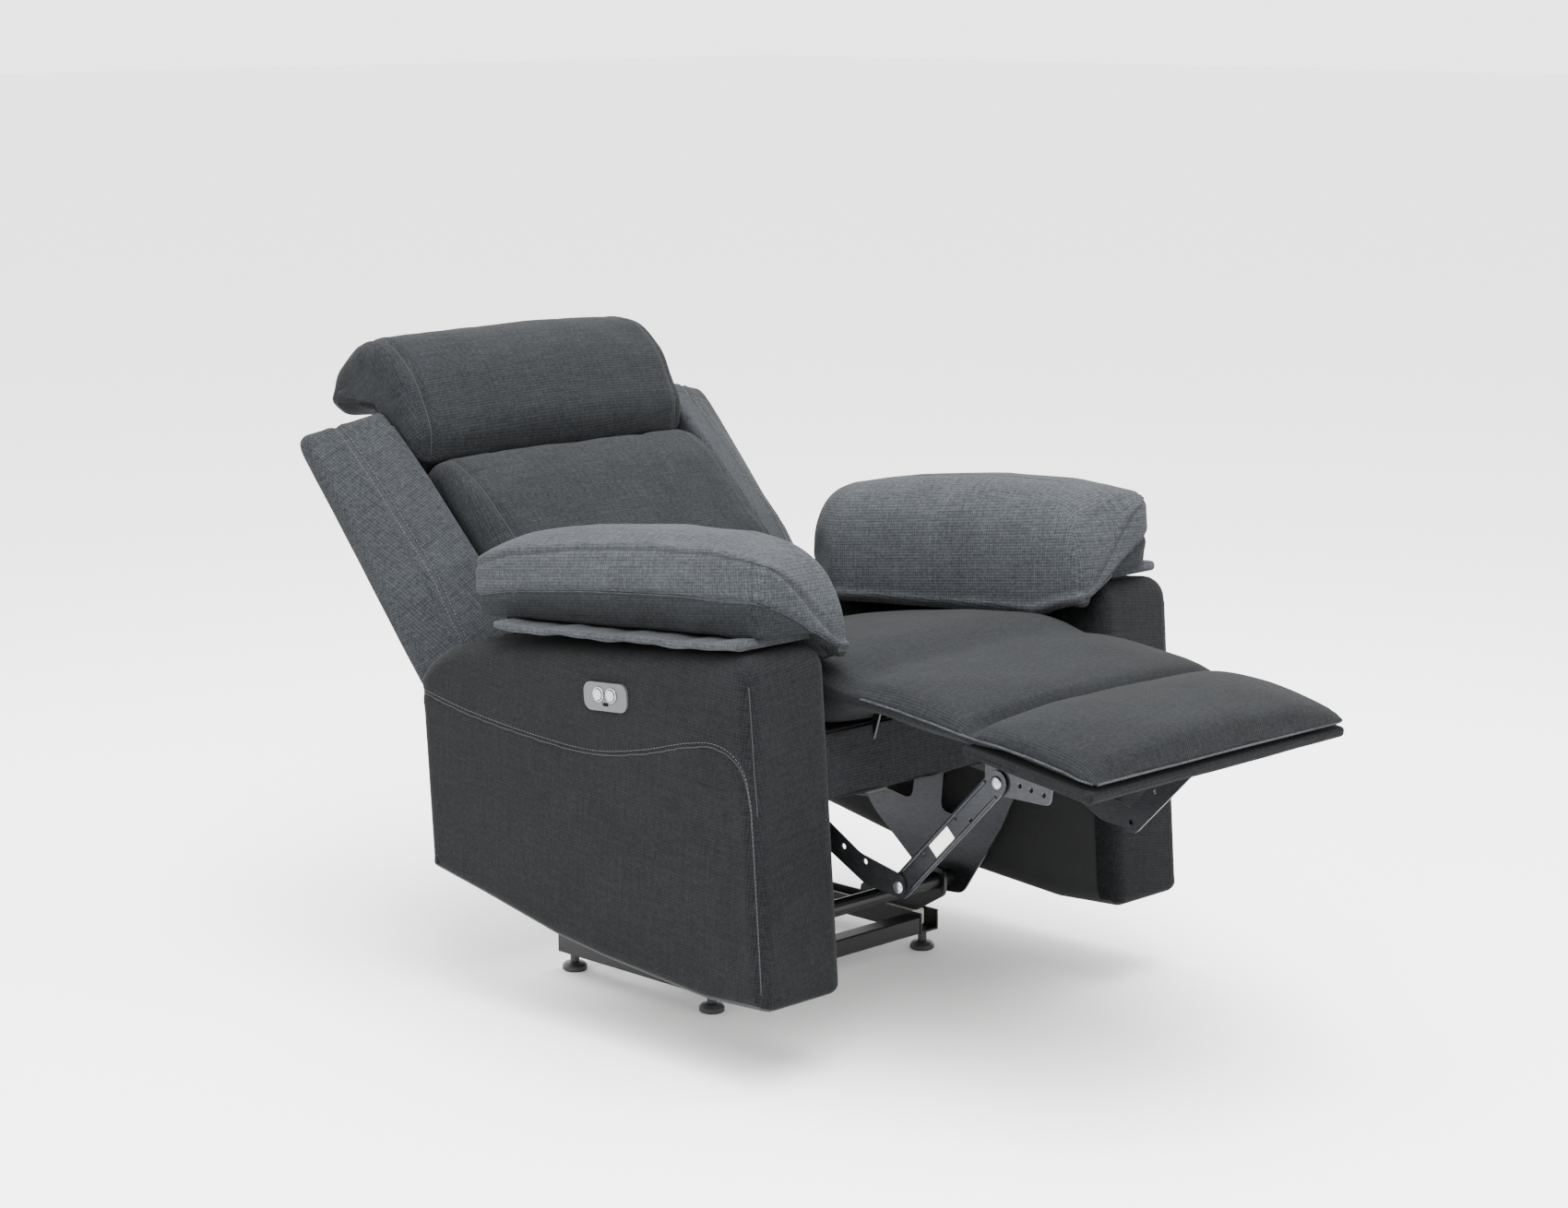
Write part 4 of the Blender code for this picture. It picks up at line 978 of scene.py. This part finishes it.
lumbarShape = {
    "outline": [(0.0355, 0.096, 0.012), (0.0355, 0.485, 0.008), (0.000, 0.486, 0.016), (-0.036, 0.470, 0.050),
                (-0.062, 0.400, 0.14), (-0.080, 0.235, 0.16), (-0.066, 0.120, 0.045)],
    "points": 300, "half": armX["lumbarHalf"] + 0.010, "edge": 0.030, "bulge": 0.003, "crown": 0.010,
    "crownFrom": (0.01, 0.05), "spine": 0.12, "ripple": 0.0012, "seed": 4.2,
}
lumbarSeam = {"name": "lumbarSeam", "from": armX["lumbarHalf"] - 0.018, "points": 60, "depth": 0.0018,
              "ridge": 0.0008, "radius": 0.0008}
headShape = {
    "outline": [(0.0355, 0.489, 0.008), (0.0355, 0.642, 0.006), (0.064, 0.642, 0.010), (0.106, 0.652, 0.022),
                (0.126, 0.690, 0.040), (0.072, 0.719, 0.058), (-0.006, 0.719, 0.060), (-0.050, 0.682, 0.070),
                (-0.062, 0.610, 0.10), (-0.040, 0.520, 0.060), (-0.004, 0.489, 0.014)],
    "points": 340, "half": armX["headHalf"] + 0.012, "edge": 0.036, "bulge": 0.004, "crown": 0.012,
    "crownFrom": (0.07, 0.10), "spine": 0.06, "ripple": 0.0014, "seed": 1.3,
}
headSeam = {"name": "headrestSeam", "from": armX["headHalf"] - 0.020, "points": 70, "depth": 0.0022,
            "ridge": 0.0010, "radius": 0.0009}


def backSheet():
    # the rear of the back: one taut panel, hollowed a little between the wings, with a hem at its foot
    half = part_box("back_panel")[1].x
    u, v = np.linspace(-1, 1, 70), np.linspace(0, 1, 90)
    uu, vv = np.meshgrid(u, v)
    free = 1 - uu ** 2
    rear = 0.0605 + 0.0015 * np.sin(9 * vv + 2 * uu) * free - 0.002 * free * np.sin(math.pi * vv)
    outer = np.stack([uu * half, rear, 0.002 + 0.596 * vv], -1)
    inner = outer.copy()
    inner[..., 1] -= 0.006
    made = ringsMesh("backPanelCloth", closedLoops(outer, inner), "cloth", "back", "backrest")
    weaveMap(made, "back")
    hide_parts("back_panel")
    hem = np.stack([np.linspace(-half + 0.01, half - 0.01, 60), np.full(60, 0.0605), np.full(60, 0.030)], -1)
    stitches("backPanelHem", made, toRow(hem, "back"), "backrest")
    return made


def rearValance():
    # cloth over the rear board under the seat, with a slow wave across it
    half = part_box("rear_valance")[1].x
    u, v = np.linspace(-1, 1, 60), np.linspace(0, 1, 30)
    uu, vv = np.meshgrid(u, v)
    y = 0.3095 + 0.0015 * np.sin(14 * uu + 3 * vv)
    outer = np.stack([uu * half, y, 0.217 + 0.168 * vv], -1)
    inner = outer.copy()
    inner[..., 1] -= 0.006
    # the valance takes the darkest cloth copy: painted shade under the seat
    made = ringsMesh("rearValanceCloth", closedLoops(outer, inner), "clothSideShade", "body", "body")
    weaveMap(made, "body")
    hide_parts("rear_valance")
    return made


for side, tag, sign in sides:
    wing(side, tag, sign)
backCushion("lumbarCushion", "lumbar_cushion", lumbarShape,
            [(0, -0.066, 0.110), (0, -0.086, 0.21), (0, -0.076, 0.33), (0, -0.056, 0.43), (0, -0.030, 0.482)],
            lumbarSeam)
backCushion("headrestCushion", "headrest_cushion", headShape,
            [(0.004, 0.090, 0.722), (0, 0.040, 0.740), (0, -0.010, 0.738), (0, -0.050, 0.700),
             (0, -0.062, 0.620), (0, -0.046, 0.540), (0, -0.014, 0.495)], headSeam)
backSheet()
rearValance()
print("back done")

chaise = {
    "creaseAt": 0.246,          # from the legrest's hinge to the sewn crease
    "creaseDepth": 0.013,
    # stations: y on the level body, then the heights of the top, the sides and the underside
    "seat": [(0.108, 0.500, 0.497, 0.444), (0.02, 0.524, 0.505, 0.444), (-0.10, 0.540, 0.512, 0.444),
             (-0.20, 0.548, 0.516, 0.444), (-0.290, 0.549, 0.518, 0.446), (-0.335, 0.541, 0.512, 0.462)],
    # stations: distance from the legrest's hinge, then the same heights over the legrest
    "foot": [(0.018, 0.028, 0.004, -0.022), (0.060, 0.034, 0.008, -0.014), (0.120, 0.040, 0.011, -0.012),
             (0.190, 0.040, 0.011, -0.011), (0.246, 0.034, 0.010, -0.009), (0.300, 0.046, 0.014, 0.001),
             (0.360, 0.050, 0.015, 0.001), (0.420, 0.044, 0.013, 0.001), (0.452, 0.033, 0.010, 0.001),
             (0.4665, 0.020, 0.008, 0.001)],
}


def chaisePad():
    # The stations run from under the lumbar cushion to the front of the footrest. Each section is a
    # superellipse across X between its heights, crowned in the middle.
    half = armX["legHalf"]
    seat, foot = np.array(chaise["seat"]), np.array(chaise["foot"])
    rows = []
    for column in (1, 2, 3):
        a = toRow(np.stack([0 * seat[:, 0], seat[:, 0], seat[:, column]], -1), "body")
        b = toRow(np.stack([0 * foot[:, 0], -foot[:, 0], foot[:, column]], -1), "leg")
        rows.append(smoothCurve(np.vstack([a, b])[:, 1:], 330))
    top, edge, low = rows
    # the sewn crease: a narrow valley where the calf part meets the foot part
    creaseRow = toRow(np.array([[0, -chaise["creaseAt"], 0.03]]), "leg")[0]
    gap = np.abs(top[:, 0] - creaseRow[1])
    valley = chaise["creaseDepth"] * np.exp(-(gap / 0.012) ** 2)
    fore = np.clip((top[-1, 0] + 0.030 - top[:, 0]) / 0.030, 0, 1)   # 1 at the very front
    t = np.linspace(0, 2 * math.pi, 240, endpoint=False)
    c, s = np.cos(t), np.sin(t)
    side = np.sign(c) * np.abs(c) ** 0.42
    up = np.sign(s) * np.abs(s) ** 0.55
    width = half * (1 - 0.035 * fore ** 3)
    crown = (1 - np.abs(side) ** 2.6) ** 0.9
    x = width[:, None] * side[None]
    shoulder = edge + (top - edge) * 0.42
    rise = shoulder[:, None] + (top - shoulder)[:, None] * crown[None, :, None]
    upper = edge[:, None] + (rise - edge[:, None]) * np.abs(up)[None, :, None]
    lower = edge[:, None] + (low - edge)[:, None] * np.abs(up)[None, :, None]
    yz = np.where((up > 0)[None, :, None], upper, lower)
    yz[..., 1] -= (valley[:, None] * np.clip(up, 0, 1)[None])
    flatten = (1 - fore ** 4 * 0.75)[:, None]
    yz[..., 1] = edge[:, None, 1] + (yz[..., 1] - edge[:, None, 1]) * flatten
    points = np.concatenate([x[..., None], yz], -1)
    made = ringsMesh("chaisePad", points, "clothRibbedShade", "row")
    stuff(made, 0.006, 3.0, 0.006, 0.5)
    ripple(made, 0.0016, where=(0.8, 1, 1), seed=0.7)
    crease = np.stack([np.linspace(-half, half, 40), np.full(40, creaseRow[1]),
                       np.full(40, creaseRow[2] - 0.006)], -1)
    groove(made, onSurface(made, crease), 0.002, 0.006)
    weaveMap(made, "leg")
    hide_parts("seat_cushion", "calf_pad", "footrest_pad")
    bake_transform(made)
    # side seams where the top panel meets the underside, on the legrest only
    for name, sign in (("Right", -1), ("Left", 1)):
        run = np.linspace(0.050, 0.462, 60)
        line = np.stack([np.full(60, sign * half), -run, np.interp(run, foot[:, 0], foot[:, 2])], -1)
        seamOn(made, "legrestSideSeam" + name, toRow(line, "leg"), 0.0002, 0.0016, "cloth", "legrest")
    line = np.stack([np.linspace(-half * 0.95, half * 0.95, 70), np.full(70, -0.468), np.full(70, 0.008)], -1)
    seamOn(made, "legrestFrontSeam", toRow(line, "leg"), 0.0002, 0.0016, "cloth", "legrest")
    return made


def boardCover():
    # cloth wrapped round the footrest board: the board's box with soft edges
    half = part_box("footrest_board")[1].x + 0.004
    outline = roundedOutline([(-0.2410, -0.0005, 0.005), (-0.2410, -0.0165, 0.006), (-0.4655, -0.0165, 0.007),
                              (-0.4655, -0.0005, 0.006)], 200)
    points = slab(outline, half, 0.006, across=60, spine=0.10)
    # the board cover takes the darkest cloth copy: painted shade under the legrest
    made = ringsMesh("footrestBoardCover", points, "clothSideShade", "leg")
    ripple(made, 0.0004, seed=3.1)
    weaveMap(made, "leg")
    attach(made, "legrest")
    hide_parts("footrest_board")
    return made


def frontApron():
    # cloth over the front of the seat box, hanging between the arms
    u, v = np.linspace(-1, 1, 80), np.linspace(0, 1, 40)
    uu, vv = np.meshgrid(u, v)
    y = -0.3205 - 0.0025 * (1 - vv) * np.sin(6 * uu + 1) ** 2
    z = 0.437 - 0.092 * (1 - vv) + 0.002 * np.sin(11 * uu) * (1 - vv)
    outer = np.stack([uu * 0.262, y, z], -1)
    inner = outer.copy()
    inner[..., 1] += 0.0022
    # the apron takes the darker underside cloth copy: painted shade for the deep shade under the seat front
    made = ringsMesh("frontApron", closedLoops(outer, inner), "clothUndersideShade", "body", "body")
    weaveMap(made, "body")
    return made


chaisePad()
boardCover()
frontApron()
print("seat and legrest done")

hardware = {
    "ottomanRivet": (0.0095, 0.0045),         # radius and rise
    "knuckleRivet": (0.0085, 0.0032),
    "flange": 0.0135,                         # from the link's middle line to its raised edges
    "flangeRadius": 0.0026,
    "sticker": (0.046, 0.020),                # along and across the link
    "stickerAt": 0.56,                        # share of the link's length
}


def dome(name, centre, radius, rise, sign, body):
    # a domed rivet head: height is rise times the root of one less the radius share squared
    r = np.linspace(1, 0.02, 9)
    t = np.linspace(0, 2 * math.pi, 20, endpoint=False)
    ring = np.stack([np.zeros(20), np.cos(t), np.sin(t)], -1)
    base = np.array(centre)
    rows = [base + ring * radius]
    for k in r:
        out = sign * (0.0006 + rise * math.sqrt(1 - k * k))
        rows.append(base + ring * radius * k + np.array([out, 0, 0]))
    made = ringsMesh(name, np.array(rows), "rivet", "row", body)
    return made


def linkDetails():
    pivot = toRow(np.array([[0, -0.2858, -0.0444]]), "leg")[0]
    knuckle = toRow(np.array([[0, -0.448, 0.237]]), "body")[0]
    along = knuckle - pivot
    length = np.linalg.norm(along[1:])
    d = np.array([0, along[1], along[2]]) / length
    n = np.array([0, -d[2], d[1]])
    for side, tag, sign in sides:
        face, rearFace = (sign * max(abs(corner.x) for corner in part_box(link + tag))
                          for link in ("front_link_", "rear_link_"))
        dome("ottomanRivet" + side, (face, *pivot[1:]), *hardware["ottomanRivet"], sign, "front_links")
        dome("knuckleRivet" + side, (rearFace, *knuckle[1:]), *hardware["knuckleRivet"], sign, "rear_links")
        # a raised edge on both long sides of the link
        for k, way in (("Upper", 1), ("Lower", -1)):
            line = pivot + d * (np.linspace(0.06, 0.94, 30)[:, None] * length) + n * way * hardware["flange"]
            line[:, 0] = face
            made = tubeAlong("linkFlange" + k + side, line, hardware["flangeRadius"], "greySteel",
                             "front_links", 10)
        if sign < 0:
            # a blank sticker on the flat of the near link
            a, b = hardware["sticker"]
            u, v = np.linspace(-0.5, 0.5, 16), np.linspace(-0.5, 0.5, 8)
            uu, vv = np.meshgrid(u, v, indexing="ij")
            at = pivot + d * (hardware["stickerAt"] * length)
            front = at + uu[..., None] * d * a + vv[..., None] * n * b
            rear = front.copy()
            front[..., 0] = face + sign * 0.0005
            rear[..., 0] = face + sign * 0.0001
            made = ringsMesh("blankSticker", closedLoops(front, rear), "paper", "row", "front_links")


def switchRings():
    # a bright ring round each button
    for name in ("open", "close"):
        low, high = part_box("button_" + name)
        y, z = (low.y + high.y) / 2, (low.z + high.z) / 2
        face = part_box("switch_plate")[0].x
        t = np.linspace(0, 2 * math.pi, 48, endpoint=False)
        ring = np.stack([np.zeros(48), np.cos(t), np.sin(t)], -1)
        section = [(0.0, 0.0086), (-0.0016, 0.0088), (-0.0022, 0.0097), (-0.0016, 0.0106), (0.0, 0.0110)]
        rows = np.array([np.array([face + dx, y, z]) + ring * r for dx, r in section + section[:1]])
        flat = rows[:-1].reshape(-1, 3)
        i, j = np.meshgrid(np.arange(5), np.arange(48), indexing="ij")
        k = (j + 1) % 48
        n = (i + 1) % 5
        faces = np.stack([i * 48 + j, i * 48 + k, n * 48 + k, n * 48 + j], -1).reshape(-1, 4)
        made = joinedMesh("switchRing" + name.capitalize(), flat, faces.tolist(), "chrome", "body")


linkDetails()
switchRings()
print("hardware done")

finishes = {
    "blackSteel": ("base_track", "base_rail", "carriage_bar", "carriage_cross_tube", "torque_tube",
                   "chaise_tab", "chaise_arm"),
    "greySteel": ("mechanism_plate", "rear_link", "front_link", "ottoman_bracket", "actuator_track",
                  "back_bracket"),
    "plastic": ("glide_foot", "motor_housing", "drive_block"),
    "switchPlate": ("switch_plate",),
    "nylon": ("slide_shoe",),
    "plywood": ("seat_rail", "arm_frame", "pad_board", "footrest_board"),
    "webbing": ("seat_deck",),
    "lining": ("back_board",),
    "chrome": ("button_", "back_pivot"),
    "cloth": ("arm_cover", "arm_pad", "seat_cushion", "rear_valance", "back_panel", "wing", "lumbar",
              "headrest", "footrest_pad", "calf_pad"),
}
for name, made in nodes.items():
    chosen = [key for key, starts in finishes.items() if name.startswith(starts)]
    made.data.materials.clear()
    made.data.materials.append(mats[chosen[0]])
print("finishes set")
